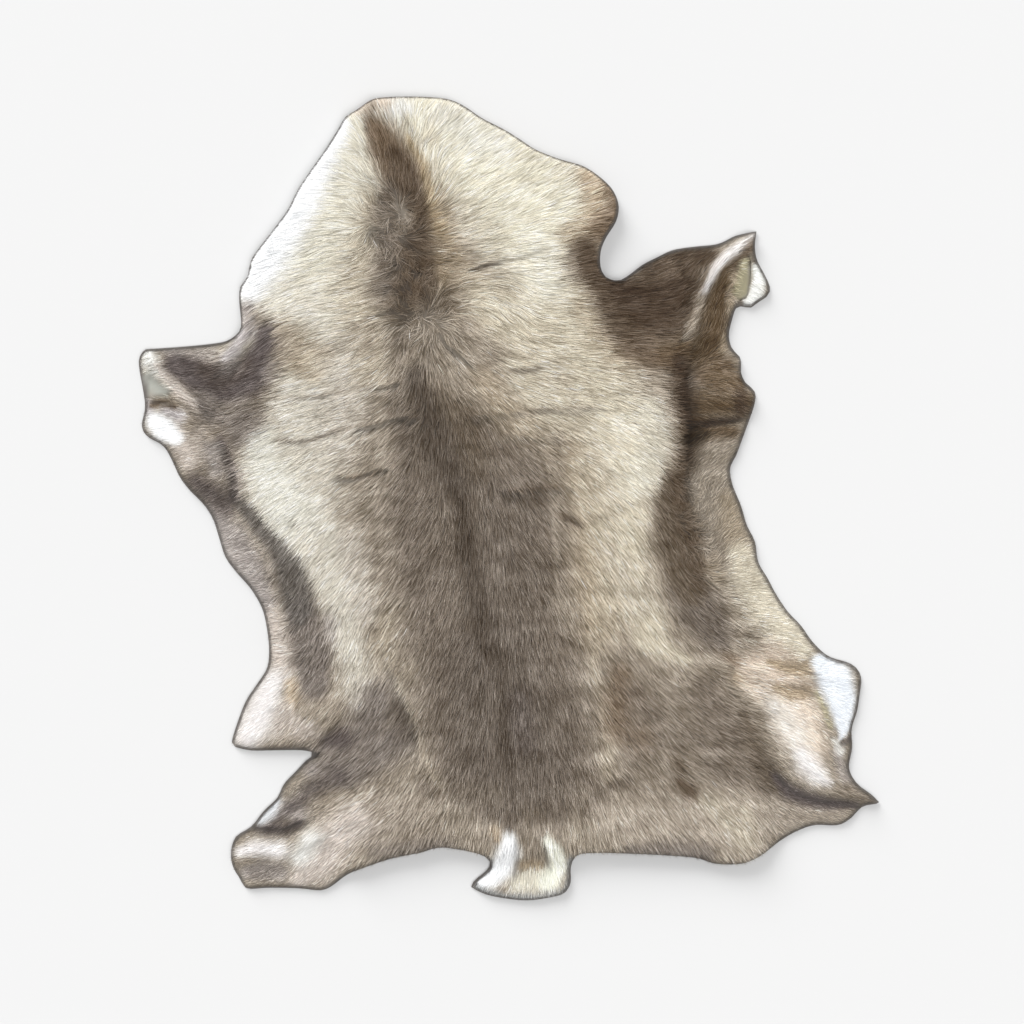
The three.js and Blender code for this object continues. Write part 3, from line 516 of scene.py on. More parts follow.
        (690, 424, 5), (705, 424, 4), (722, 421, 3), (740, 419, 2)]),
    # painted shadow, the darkest on the hide, in the pit where the shoulder and elbow creases meet
    "bulge_pit_shadow": (Tone.PEAT, 0.9, 0.7, [(686, 440, 7), (698, 436, 7), (708, 434, 3)]),
    # right hind leg
    "hind_field": (Tone.BLUSH, 0.7, 1, [
        (748, 666, 12), (772, 664, 20), (790, 690, 24), (798, 720, 24), (812, 748, 14)]),
    "hind_tan": (Tone.WHEAT, 0.9, 0.95, [(768, 661, 3), (788, 667, 6), (804, 669, 7)]),
    "hind_tan_low": (Tone.WHEAT, 0.9, 0.8, [(776, 688, 5), (790, 693, 8), (806, 692, 6)]),
    "hind_inner": (Tone.TAN, 0.9, 0.6, [(735, 675, 6), (738, 680, 5)]),
    "hind_inner_low": (Tone.BLUSH, 0.9, 0.8, [(750, 682, 7), (758, 695, 8)]),
    "hind_gold": (Tone.HAZEL, 0.9, 0.7, [(726, 655, 5), (736, 661, 5)]),
    "hind_cream": (Tone.MILK, 0.9, 1, [(771, 703, 9), (786, 720, 14), (794, 736, 14), (800, 748, 9)]),
    "hind_bright": (Tone.PETAL, 0.9, 1, [(800, 754, 7), (807, 764, 12), (816, 775, 10), (826, 781, 5)]),
    "hind_edge": (Tone.MAUVE, 0.8, 0.8, [(836, 752, 4), (842, 770, 6), (848, 786, 6)]),
    "hind_tip": (Tone.TAUPE, 0.8, 1, [(846, 789, 7), (860, 797, 7), (874, 802, 4)]),
    # painted shade in the crease below the right hind leg's fold
    "hind_crease": (Tone.PLUM_BROWN, 0.8, 1, [
        (774, 776, 4), (788, 791, 7), (804, 798, 7), (826, 803, 6), (856, 805, 3)]),
    "hind_white": (Tone.BLUE_WHITE, 0.35, 1, [
        (820, 662, 9), (834, 678, 18), (841, 700, 15), (843, 722, 9), (842, 734, 4)]),
    "hind_cut": (Tone.HIDE_OLIVE, 0.6, 0.8, [(816, 692, 2), (824, 708, 3), (830, 726, 3)]),
    "hind_strip": (Tone.CHALK, 0.8, 0.8, [(834, 740, 3), (840, 752, 4)]),
    # painted shadow in the gap at the lower end of the white patch
    "hind_gap_shadow": (Tone.PLUM_BROWN, 0.8, 0.8, [(843, 743, 3), (850, 738, 2)]),
    # left hind leg
    "left_stifle": (Tone.ASH, 0.8, 1, [(314, 768, 8), (336, 762, 14), (348, 774, 12)]),
    "left_stifle_light": (Tone.MAUVE, 0.9, 0.6, [(310, 770, 8)]),
    "hind_left_field": (Tone.ROSE, 0.8, 1, [
        (356, 818, 14), (334, 838, 20), (318, 862, 20), (300, 878, 10)]),
    "hind_left_light": (Tone.CHALK, 0.9, 0.85, [(312, 838, 10), (300, 856, 10)]),
    "hind_left_upper": (Tone.MAUVE, 0.8, 0.8, [(280, 806, 8), (298, 812, 10)]),
    # painted shade along the left stifle's crease
    "hind_left_stifle_shade": (Tone.PLUM_BROWN, 0.9, 0.65, [
        (268, 828, 4), (292, 806, 6), (310, 790, 8), (338, 776, 9)]),
    "hind_left_blue": (Tone.BLUE_WHITE, 0.8, 0.85, [(276, 801, 5), (270, 812, 7), (262, 821, 5)]),
    # painted shade in the left hind leg's crease
    "hind_left_crease_shade": (Tone.PLUM_BROWN, 0.9, 0.8, [
        (256, 828, 3), (268, 829, 5), (285, 829, 6), (300, 822, 5)]),
    "hind_left_fold": (Tone.PETAL, 0.8, 1, [(240, 851, 5), (256, 847, 8), (280, 850, 9)]),
    "hind_left_brown": (Tone.MAUVE, 0.7, 0.9, [(246, 872, 6), (262, 870, 9), (280, 872, 8)]),
    "hind_left_spot": (Tone.ASH, 0.9, 0.8, [(254, 873, 5), (268, 872, 6), (280, 869, 4)]),
    # tail
    "tail_tip": (Tone.CREAM, 0.8, 0.95, [(518, 884, 9), (534, 880, 13), (552, 884, 8)]),
    "tail_middle": (Tone.TAUPE, 0.8, 1, [(527, 828, 9), (530, 845, 9), (532, 858, 6)]),
    "tail_left": (Tone.SNOW, 0.6, 1, [
        (509, 838, 8), (508, 852, 12), (502, 866, 13), (490, 878, 11), (480, 884, 6)]),
    "tail_right": (Tone.TUFT, 0.6, 1, [(547, 839, 5), (556, 853, 8), (559, 866, 9), (548, 880, 10)]),
    "tail_gold": (Tone.TAN, 0.9, 0.6, [(495, 829, 5), (498, 838, 3)]),
    "tail_gold_middle": (Tone.WHEAT, 0.9, 0.8, [(522, 864, 5), (534, 862, 4), (540, 864, 4)]),
    # painted shade round the tail's lower rim
    "tail_rim_shade": (Tone.PEWTER, 0.9, 0.9, [
        (473, 885, 3), (488, 893, 4), (510, 897, 4), (540, 898, 5), (566, 893, 5), (572, 876, 4),
        (570, 858, 3)]),
    # wrinkles: thin lines of painted shade where the coat parts
    "neck_wrinkle": (Tone.HAZEL, 0.9, 0.5, [(476, 271, 1.2), (488, 267, 3), (496, 266, 1)]),
    "left_wrinkle_upper_shade": (Tone.TAUPE, 0.9, 0.4, [(275, 399, 1.5), (320, 397, 1.8), (373, 387, 1.5)]),
    "left_wrinkle_middle_shade": (Tone.TAUPE, 0.9, 0.6, [
        (275, 441, 1.5), (307, 443, 2), (340, 430, 2), (362, 426, 2.5), (402, 419, 2)]),
    "left_wrinkle_lower_shade": (Tone.HAZEL, 0.9, 0.6, [(340, 478, 1.5), (362, 477, 2), (384, 471, 1.5)]),
    "middle_wrinkle_shade": (Tone.TAUPE, 0.9, 0.5, [
        (480, 417, 2.5), (510, 415, 2), (545, 410, 2), (590, 408, 1.5)]),
    "right_wrinkle_upper_shade": (Tone.TAUPE, 0.9, 0.5, [(512, 373, 2), (530, 372, 2.5), (538, 368, 2)]),
    "right_wrinkle_lower_shade": (Tone.HAZEL, 0.9, 0.5, [(510, 492, 3), (540, 490, 3), (562, 487, 2)]),
}

# Wrinkles and creases where the hair parts: how open it is, half width in squares, and the line.
PARTINGS: dict[str, tuple[float, float, Points]] = {
    "neck": (1.0, 1.2, [(470, 272), (480, 268), (493, 265)]),
    "neck_end": (0.5, 0.9, [(493, 265), (520, 256), (545, 249)]),
    "crown": (0.7, 1.2, [(402, 124), (408, 131), (413, 139)]),
    "cowlick_top": (0.8, 1.3, [(380, 196), (384, 204), (388, 208)]),
    "cowlick": (0.8, 1.6, [(370, 233), (378, 230), (384, 236)]),
    "cowlick_right": (0.6, 1.2, [(396, 222), (404, 226), (412, 224)]),
    "cowlick_middle": (0.8, 1.4, [(398, 240), (406, 244), (412, 250)]),
    "cowlick_low": (0.8, 1.5, [(402, 262), (410, 268), (416, 278), (422, 276)]),
    "cowlick_base": (0.7, 1.4, [(388, 286), (398, 292), (410, 290)]),
    "whorl_left": (0.9, 1.2, [(382, 315), (398, 315), (412, 322)]),
    "whorl_top": (0.8, 1.2, [(402, 303), (409, 311), (416, 318)]),
    "whorl_right": (1.0, 1.3, [(440, 335), (446, 347), (458, 355), (466, 363)]),
    "withers_right": (0.7, 1.1, [(510, 370), (528, 371), (539, 366)]),
    "left_upper": (0.6, 1.0, [(292, 399), (318, 398), (336, 395)]),
    "left_upper_inner": (0.9, 1.2, [(372, 388), (386, 387), (400, 385)]),
    "left_middle": (0.6, 1.0, [(288, 442), (308, 441), (326, 436), (346, 430)]),
    "left_middle_inner": (1.0, 1.3, [(360, 429), (376, 427), (392, 421), (404, 419), (416, 421)]),
    "left_lower": (0.9, 1.3, [(338, 478), (354, 479), (366, 475), (376, 471), (390, 470)]),
    "spine_upper": (0.8, 1.0, [(470, 419), (490, 417), (510, 415), (540, 411), (567, 411), (600, 408)]),
    "spine_lower": (0.8, 1.1, [(500, 493), (520, 491), (540, 489), (572, 488)]),
    "right_back": (0.6, 1.0, [(505, 436), (540, 440), (560, 439)]),
    "right_smudge": (0.3, 1.4, [(560, 515), (568, 516), (577, 521)]),
    "right_shoulder": (0.4, 1.6, [(674, 360), (674, 382), (679, 402), (683, 425), (686, 445)]),
    "right_elbow": (0.5, 1.5, [(690, 428), (705, 427), (722, 424), (738, 419)]),
    "left_elbow": (0.7, 2.0, [(224, 442), (231, 458), (236, 478), (238, 495)]),
    "left_tip": (0.9, 1.5, [(151, 403), (162, 402), (175, 407)]),
    "left_hind": (0.8, 1.8, [(256, 827), (268, 828), (285, 828), (300, 822)]),
    "left_haunch": (0.5, 1.5, [(386, 646), (398, 684), (410, 706), (420, 736)]),
    "right_hind": (0.7, 1.6, [(776, 776), (790, 790), (806, 797), (828, 802)]),
    "hind_streak": (0.6, 1.5, [(778, 664), (795, 667), (812, 674)]),
    "hind_streak_low": (0.6, 1.5, [(786, 684), (800, 688), (812, 694)]),
    "tail_left": (0.6, 1.5, [(515, 838), (518, 856), (514, 872)]),
    "tail_right": (0.6, 1.5, [(543, 836), (547, 852), (550, 866)]),
}

# Combing guides: place in squares right and down, and the way the hair points, right and down.
GUIDES: dict[str, list[tuple[float, float, float, float]]] = {
    "crown": [
        (365, 112, -0.5, -0.8), (385, 108, -0.35, -0.9), (420, 110, 0.5, -0.85), (455, 115, 0.75, -0.65),
        (400, 140, -0.3, -0.9), (378, 140, -0.35, -0.9), (420, 150, 0.6, -0.75)],
    "neck_left": [
        (345, 135, -0.9, -0.25), (335, 165, -1, -0.05), (320, 200, -1, 0.02), (350, 185, -1, 0.0),
        (290, 245, -0.95, 0.2), (320, 240, -0.95, 0.25), (350, 220, -0.95, 0.1), (265, 285, -0.9, 0.35),
        (300, 290, -0.93, 0.35), (350, 270, -0.97, 0.2), (350, 305, -0.97, 0.2), (380, 265, -0.9, 0.2)],
    "neck_stripe": [
        (385, 165, -0.3, -0.9), (400, 170, -0.25, -0.95), (415, 180, 0.1, -1), (420, 200, 0.5, -0.8),
        (400, 195, 0.15, -1), (430, 230, 0.9, -0.2), (430, 260, 0.95, 0.1), (410, 250, 0.6, 0.4),
        (400, 285, -0.6, 0.5), (425, 290, 0.3, -0.9), (370, 200, -0.9, -0.2), (365, 235, -0.95, 0.2)],
    "cowlick": [
        (385, 210, -0.2, -1), (372, 225, -1, 0), (385, 240, -0.3, 0.9), (396, 225, 0.9, -0.1)],
    "neck_right": [
        (450, 140, 0.75, -0.6), (480, 150, 0.85, -0.5), (510, 170, 0.87, -0.48), (550, 190, 0.88, -0.45),
        (460, 190, 0.85, -0.5), (500, 210, 0.88, -0.4), (590, 200, 0.92, -0.35), (560, 225, 0.97, -0.15),
        (600, 225, 0.95, -0.2), (460, 230, 0.9, -0.35), (500, 245, 0.97, -0.2), (540, 260, 1, -0.05),
        (470, 270, 0.9, -0.1), (510, 280, 0.85, 0.3)],
    "whorl": [
        (425, 305, 0.1, -1), (408, 318, -0.9, -0.1), (443, 315, 0.8, -0.3), (418, 335, -0.3, 0.95),
        (435, 340, 0.35, 0.93), (450, 350, 0.6, 0.8), (458, 330, 0.85, 0.5), (400, 345, -0.7, 0.7)],
    "withers": [
        (490, 310, 0.75, 0.65), (510, 330, 0.8, 0.6), (480, 360, 0.85, 0.5), (540, 330, 0.97, 0.15),
        (530, 370, 0.97, 0.15), (380, 330, -0.93, 0.3), (350, 350, -0.93, 0.35), (380, 370, -0.8, 0.55),
        (420, 380, -0.1, 1), (440, 390, 0.3, 0.95), (460, 385, 0.7, 0.7)],
    "left_back": [
        (300, 340, -0.9, 0.35), (270, 380, -0.95, 0.28), (310, 390, -0.93, 0.33), (350, 400, -0.92, 0.38),
        (390, 410, -0.8, 0.55), (290, 430, -0.92, 0.38), (340, 440, -0.9, 0.42), (390, 450, -0.7, 0.7),
        (260, 465, -0.9, 0.4), (300, 480, -0.87, 0.48), (350, 490, -0.82, 0.56), (400, 500, -0.55, 0.83),
        (430, 460, -0.15, 1), (275, 515, -0.78, 0.6), (320, 530, -0.75, 0.66), (370, 540, -0.7, 0.7),
        (420, 540, -0.45, 0.9), (340, 580, -0.62, 0.78), (390, 590, -0.6, 0.8), (440, 600, -0.35, 0.93),
        (350, 640, -0.38, 0.92), (400, 650, -0.5, 0.86), (450, 660, -0.35, 0.93), (350, 700, -0.45, 0.88),
        (400, 710, -0.5, 0.85), (450, 730, -0.3, 0.95), (380, 760, -0.65, 0.75), (430, 780, -0.45, 0.88)],
    "left_stripe": [
        (255, 515, -0.65, 0.75), (275, 545, -0.55, 0.83), (295, 590, -0.4, 0.92), (308, 630, -0.3, 0.95),
        (315, 665, -0.45, 0.9), (310, 690, -0.6, 0.8)],
    "spine": [
        (445, 440, 0, 1), (462, 480, 0, 1), (480, 530, 0, 1), (492, 580, 0, 1), (502, 640, 0, 1),
        (510, 700, 0, 1), (518, 760, 0, 1), (526, 815, 0, 1)],
    "right_back": [
        (560, 330, 1, 0.05), (600, 350, 1, 0.08), (640, 370, 1, 0.12), (560, 380, 0.97, 0.25),
        (600, 400, 0.93, 0.36), (645, 410, 0.92, 0.4), (500, 400, 0.75, 0.66), (540, 420, 0.87, 0.5),
        (590, 440, 0.85, 0.52), (650, 450, 0.88, 0.48), (490, 440, 0.45, 0.9), (530, 470, 0.7, 0.7),
        (580, 490, 0.72, 0.7), (630, 490, 0.75, 0.66), (660, 480, 0.8, 0.6), (500, 500, 0.35, 0.93),
        (540, 530, 0.58, 0.8), (590, 540, 0.62, 0.78), (630, 540, 0.58, 0.82), (520, 590, 0.3, 0.95),
        (560, 600, 0.48, 0.87), (610, 600, 0.58, 0.82), (645, 600, 0.55, 0.83), (530, 660, 0.25, 0.97),
        (570, 670, 0.42, 0.9), (620, 660, 0.62, 0.78), (670, 650, 0.65, 0.76), (540, 730, 0.2, 0.98),
        (580, 740, 0.35, 0.93), (620, 720, 0.6, 0.8), (660, 710, 0.75, 0.66), (700, 690, 0.8, 0.6),
        (640, 760, 0.68, 0.73), (690, 750, 0.8, 0.58), (740, 740, 0.85, 0.5), (560, 800, 0.2, 0.98)],
    "right_stripe": [
        (665, 500, 0.6, 0.8), (672, 530, 0.5, 0.86), (682, 560, 0.5, 0.86), (700, 595, 0.6, 0.8),
        (715, 620, 0.75, 0.65), (735, 640, 0.85, 0.5)],
    "right_belly": [
        (700, 445, 0.7, -0.7), (725, 440, 0.85, -0.5), (715, 475, 0.6, -0.75), (728, 500, 0.8, -0.6),
        (700, 505, -0.3, -0.9), (712, 540, 0.2, -0.9), (735, 530, 0.85, -0.5), (730, 555, 0.9, -0.3),
        (750, 570, 1, -0.1), (765, 600, 1, 0.0), (735, 600, 0.95, 0.2), (780, 635, 0.99, 0.12),
        (750, 640, 0.97, 0.2)],
    "right_shoulder": [
        (580, 260, 0.95, -0.2), (600, 290, 1, -0.05), (640, 300, 1, -0.05), (620, 330, 1, 0.05),
        (660, 330, 1, 0.05), (655, 270, 0.9, -0.4), (690, 262, 0.95, -0.3), (685, 300, 1, -0.1),
        (665, 355, 1, 0.1), (705, 250, 0.9, -0.4)],
    "right_foreleg": [
        (735, 245, 0.75, -0.65), (715, 268, 0.6, -0.8), (700, 288, 0.5, -0.85), (690, 320, 0.4, -0.9),
        (712, 300, 0.15, -1), (722, 285, 0.25, -0.95), (710, 335, 0.05, -1), (725, 330, 0.15, -1),
        (757, 282, 0.7, 0.5), (750, 298, 0.3, 0.9), (763, 288, 0.8, 0.5), (756, 268, 0.7, 0.4)],
    "bulge": [
        (695, 370, 0.6, -0.6), (712, 365, 0.95, -0.1), (735, 370, 0.95, 0.2), (700, 395, 0.95, 0.1),
        (725, 395, 0.85, 0.4), (742, 398, 0.8, 0.5), (715, 412, 0.75, 0.6), (740, 415, 0.9, 0.1)],
    "right_hind": [
        (750, 665, 0.97, 0.2), (785, 665, 0.97, 0.2), (800, 685, 0.97, 0.25), (760, 695, 0.93, 0.35),
        (785, 725, 0.88, 0.46), (805, 750, 0.82, 0.57), (825, 772, 0.85, 0.5), (815, 715, 0.8, 0.6),
        (828, 745, 0.75, 0.65), (850, 792, 0.93, 0.35), (870, 801, 0.93, 0.3), (780, 770, 0.8, 0.58),
        (810, 792, 0.93, 0.32), (835, 668, 1, 0.1), (845, 685, 1, 0.15), (845, 705, 0.9, 0.4),
        (845, 725, 0.75, 0.66), (822, 680, 1, 0.1)],
    "rear_right": [
        (600, 800, 0.35, 0.93), (650, 815, 0.6, 0.8), (700, 820, 0.62, 0.78), (745, 830, 0.58, 0.8),
        (700, 845, 0.62, 0.78), (790, 815, 0.85, 0.5), (830, 812, 0.93, 0.35), (765, 845, 0.55, 0.83),
        (640, 845, 0.5, 0.86), (600, 840, 0.3, 0.95), (735, 790, 0.75, 0.66)],
    "tail": [
        (505, 840, -0.1, 1), (500, 865, -0.25, 0.97), (487, 883, -0.7, 0.7), (475, 888, -0.9, 0.4),
        (530, 845, 0, 1), (530, 880, 0, 1), (515, 885, -0.2, 0.97), (548, 840, 0.15, 1),
        (560, 865, 0.25, 0.97), (562, 888, 0.2, 0.98), (545, 888, 0.05, 1)],
    "rear_left": [
        (480, 820, -0.15, 1), (450, 830, -0.3, 0.95), (410, 840, -0.4, 0.9), (420, 815, -0.5, 0.85),
        (380, 840, -0.6, 0.8), (370, 810, -0.8, 0.55), (350, 850, -0.7, 0.7), (330, 790, -0.88, 0.45),
        (350, 775, -0.8, 0.6)],
    "left_hind": [
        (335, 820, -0.85, 0.5), (310, 850, -0.8, 0.6), (320, 875, -0.65, 0.75), (295, 865, -0.85, 0.5),
        (270, 846, -0.99, 0.1), (245, 850, -0.99, 0.15), (265, 872, -0.93, 0.35), (250, 880, -0.9, 0.4),
        (300, 810, -0.85, 0.5), (270, 812, -0.7, 0.65), (300, 785, -0.85, 0.45), (315, 768, -0.7, 0.7),
        (285, 795, -0.8, 0.55)],
    "left_flap": [
        (270, 660, -0.97, -0.1), (262, 690, -0.95, 0.25), (285, 700, -0.7, 0.7), (255, 720, -0.8, 0.6),
        (285, 735, -0.7, 0.7), (310, 725, -0.6, 0.8), (240, 738, -0.8, 0.55), (325, 740, -0.7, 0.6)],
    "left_belly": [
        (215, 515, -0.9, 0.3), (232, 540, -0.98, 0.15), (245, 565, -0.98, 0.1), (258, 595, -0.98, 0.0),
        (272, 625, -0.97, -0.05), (275, 650, -0.97, -0.1), (220, 495, -0.8, 0.5)],
    "left_foreleg": [
        (255, 325, -0.75, 0.6), (262, 345, -0.7, 0.7), (235, 355, -0.85, 0.5), (210, 358, -0.97, 0.2),
        (175, 360, -0.97, 0.2), (190, 380, -0.97, 0.15), (215, 390, -0.97, 0.2), (245, 390, -0.9, 0.4),
        (155, 362, -0.7, 0.6), (175, 390, -0.7, -0.6), (200, 412, -0.6, -0.7), (190, 425, -0.95, 0.05),
        (210, 430, -0.93, 0.2), (240, 430, -0.9, 0.4), (165, 428, -1, 0.05), (175, 455, -0.9, 0.3),
        (195, 450, -0.95, 0.2), (200, 475, -0.9, 0.4), (215, 465, -0.9, 0.4), (190, 480, -0.8, 0.5)],
}


def to_mm(right: np.ndarray | float, down: np.ndarray | float) -> tuple:
    """A place on the drafting grid in mm, +X right and +Y towards the neck."""
    return (right - GRID_MIDDLE[0]) * SQUARE, (GRID_MIDDLE[1] - down) * SQUARE


def smooth(t: np.ndarray) -> np.ndarray:
    """The soft step 3 t^2 - 2 t^3, held at 0 and 1 outside 0 to 1."""
    t = np.clip(t, 0.0, 1.0)
    return t * t * (3.0 - 2.0 * t)


def to_linear(eight_bit: np.ndarray) -> np.ndarray:
    """Eight-bit display colour as linear light: ((c + 0.055) / 1.055) ^ 2.4 above the toe."""
    c = np.asarray(eight_bit, float) / 255.0
    return np.where(c <= 0.04045, c / 12.92, ((c + 0.055) / 1.055) ** 2.4)


def sample_edge(step: float) -> np.ndarray:
    """The edge stretches as one closed loop.

    Each span is a cubic through its two ends whose slope at an end is half the chord between that
    end's neighbours; a sharp corner counts as its own neighbour.

    Args:
        step: length of a piece of the loop, mm.

    Returns:
        The loop's points, clockwise, one row each.
    """
    corners = [p for stretch in EDGE.values() for p in stretch]
    count = len(corners)
    loop = []
    for i, start in enumerate(corners):
        end = corners[(i + 1) % count]
        p1, p2 = np.array(start, float), np.array(end, float)
        p0 = p1 if start in SHARP else np.array(corners[i - 1], float)
        p3 = p2 if end in SHARP else np.array(corners[(i + 2) % count], float)
        t = np.arange(0, 1, 1 / max(1, round(float(np.linalg.norm(p2 - p1)) / step)))[:, None]
        bend = 2 * p0 - 5 * p1 + 4 * p2 - p3
        loop.append(p1 + 0.5 * t * (p2 - p0 + t * (bend + t * (3 * (p1 - p2) + p3 - p0))))
    return np.concatenate(loop)


@dataclass
class Sheet:
    """An even grid over the hide, in mm, on which heights, colours and combing are worked out."""

    pitch: float = 2.5
    half_width: float = 600.0
    half_length: float = 650.0
    xs: np.ndarray = field(init=False)
    ys: np.ndarray = field(init=False)
    x: np.ndarray = field(init=False)
    y: np.ndarray = field(init=False)

    def __post_init__(self) -> None:
        """Lays out the grid's rows and columns."""
        self.xs = np.arange(-self.half_width, self.half_width + self.pitch / 2, self.pitch)
        self.ys = np.arange(-self.half_length, self.half_length + self.pitch / 2, self.pitch)
        self.x, self.y = np.meshgrid(self.xs, self.ys)

    def window(self, low: np.ndarray, high: np.ndarray) -> Window:
        """The rows and columns between two corners.

        Args:
            low: the corner nearest the tail and the left, mm.
            high: the corner nearest the neck and the right, mm.

        Returns:
            The rows and the columns.
        """
        i0, i1 = np.searchsorted(self.ys, [low[1], high[1]])
        j0, j1 = np.searchsorted(self.xs, [low[0], high[0]])
        return slice(i0, i1), slice(j0, j1)

    def near_line(
        self, a: np.ndarray, b: np.ndarray, reach: float
    ) -> tuple[Window, np.ndarray, np.ndarray]:
        """Distance to the line from a to b, and how far along it the nearest point is.

        Args:
            a: one end, mm.
            b: the other end, mm.
            reach: how far out to work, mm.

        Returns:
            The window, the distances in it, and the shares from 0 at a to 1 at b.
        """
        win = self.window(np.minimum(a, b) - reach, np.maximum(a, b) + reach)
        px, py = self.x[win] - a[0], self.y[win] - a[1]
        run = b - a
        share = np.clip((px * run[0] + py * run[1]) / max(run @ run, 1e-9), 0, 1)
        return win, np.hypot(px - share * run[0], py - share * run[1]), share

    def to_path(self, path: np.ndarray, reach: float, closed: bool = False) -> np.ndarray:
        """Distance to a chain of points, held at reach beyond it.

        Args:
            path: the points, one row each, mm.
            reach: how far out to work, mm.
            closed: whether the last point is joined to the first.

        Returns:
            One distance for each grid point, mm.
        """
        found = np.full(self.x.shape, reach, float)
        ends = np.roll(path, -1, axis=0) if closed else path[1:]
        for a, b in zip(path, ends):
            win, distance, _ = self.near_line(a, b, reach)
            found[win] = np.minimum(found[win], distance)
        return found

    def inside(self, loop: np.ndarray) -> np.ndarray:
        """True within a closed loop: a point is inside if an odd number of sides lie to its right.

        Args:
            loop: the loop's points, one row each, mm.

        Returns:
            One answer for each grid point.
        """
        odd = np.zeros(self.x.shape, bool)
        for a, b in zip(loop, np.roll(loop, -1, axis=0)):
            spans = (a[1] > self.ys) != (b[1] > self.ys)
            if spans.any():
                at = (b[0] - a[0]) * (self.ys[spans] - a[1]) / (b[1] - a[1]) + a[0]
                odd[spans] ^= self.xs[None, :] < at[:, None]
        return odd

    def depth(self, loop: np.ndarray, reach: float) -> np.ndarray:
        """Distance inside a closed loop, negative outside, held at reach either way."""
        return self.to_path(loop, reach, closed=True) * np.where(self.inside(loop), 1, -1)

    def read(self, values: np.ndarray, x: np.ndarray, y: np.ndarray) -> np.ndarray:
        """Values at any places, blended evenly between the four grid points round each.

        Args:
            values: one value or row for each grid point.
            x: places across, mm.
            y: places along, mm.

        Returns:
            One value or row for each place.
        """
        u = np.clip((x + self.half_width) / self.pitch, 0, len(self.xs) - 1.001)
        v = np.clip((y + self.half_length) / self.pitch, 0, len(self.ys) - 1.001)
        j, i = u.astype(int), v.astype(int)
        fu, fv = u - j, v - i
        if values.ndim == 3:
            fu, fv = fu[:, None], fv[:, None]
        low = values[i, j] * (1 - fu) + values[i, j + 1] * fu
        high = values[i + 1, j] * (1 - fu) + values[i + 1, j + 1] * fu
        return low * (1 - fv) + high * fv

    def noise(self, rng: np.random.Generator, length: float, across: float = 1.0) -> np.ndarray:
        """Even random swells of one typical length, mean 0 and spread 1.

        White noise is smoothed by dropping each wave by exp(-(2 pi f s)^2 / 2).

        Args:
            rng: the source of the random numbers.
            length: typical length of a swell, mm.
            across: how many times as long it is from side to side.

        Returns:
            One value for each grid point.
        """
        white = np.fft.rfft2(rng.standard_normal(self.x.shape))
        fy = np.fft.fftfreq(self.x.shape[0], self.pitch)[:, None]
        fx = np.fft.rfftfreq(self.x.shape[1], self.pitch)[None, :]
        sigma = length / 4
        white *= np.exp(-2 * (np.pi * sigma) ** 2 * ((across * fx) ** 2 + fy**2))
        swell = np.fft.irfft2(white, s=self.x.shape)
        return (swell - swell.mean()) / swell.std()


@dataclass
class HideForm:
    """The hide's shape: its edge, the depth of its coat and its folds, all in mm."""

    sheet: Sheet
    edge_step: float = 8.0
    reach: float = 60.0
    fold_reach: float = 3.2  # half widths of the fold
    loop: np.ndarray = field(init=False)
    depth: np.ndarray = field(init=False)
    bare: np.ndarray = field(init=False)
    lift: np.ndarray = field(init=False)
    round: np.ndarray = field(init=False)
    top: np.ndarray = field(init=False)

    def __post_init__(self) -> None:
        """Works out the fields that every piece reads."""
        self.loop = sample_edge(self.edge_step)
        self.depth = self.sheet.depth(self.loop, self.reach)
        self.bare = np.maximum.reduce(
            [self.sheet.depth(np.array(p, float), self.reach) for p in BARE_SKIN.values()])
        self.lift, raised = self._folds()
        pile = self._pile() + raised - self.lift
        pile += SWELL_HEIGHT * (np.sin(self.sheet.x / SWELL_LENGTH + 0.7)
                                * np.cos(self.sheet.y / SWELL_LENGTH - 0.4))
        inward = np.clip(self.depth / ROUND_OVER, 0, 1)
        self.round = np.sqrt(1 - (1 - inward) ** 2)
        self.top = self.lift + RIM_HEIGHT + np.maximum(0, pile - RIM_HEIGHT) * self.round

    def area(self) -> float:
        """Flat area within the edge, square metres, from the cross products of its corners."""
        x, y = self.loop.T
        return abs(float(np.sum(x * np.roll(y, -1) - y * np.roll(x, -1)))) / 2 * MM * MM

    def _pile(self) -> np.ndarray:
        """Depth of skin and coat, easing from the back's to each shorter area's.

        Returns:
            One depth for each grid point, mm.
        """
        pile = np.full(self.sheet.x.shape, BACK_PILE)
        for shorter, blend, area in SHORTER_COAT.values():
            inside = self.sheet.depth(np.array(area, float), self.reach)
            pile += (np.minimum(pile, shorter) - pile) * smooth(0.5 + inside / blend)
        return pile

    def _folds(self) -> tuple[np.ndarray, np.ndarray]:
        """Lift of the skin, and rise or fall of the coat: rise x exp(-(distance / half)^2).

        Returns:
            The lift and the rise at each grid point, mm.
        """
        lift = np.zeros(self.sheet.x.shape)
        raised = np.zeros(self.sheet.x.shape)
        for rise, half, lifts, path in FOLDS.values():
            reach = self.fold_reach * half
            distance = self.sheet.to_path(np.array(path, float), reach)
            height = rise * np.exp(-((distance / half) ** 2)) * (distance < reach)
            raised += height
            lift += SKIN_LIFT * height * lifts
        return lift, raised


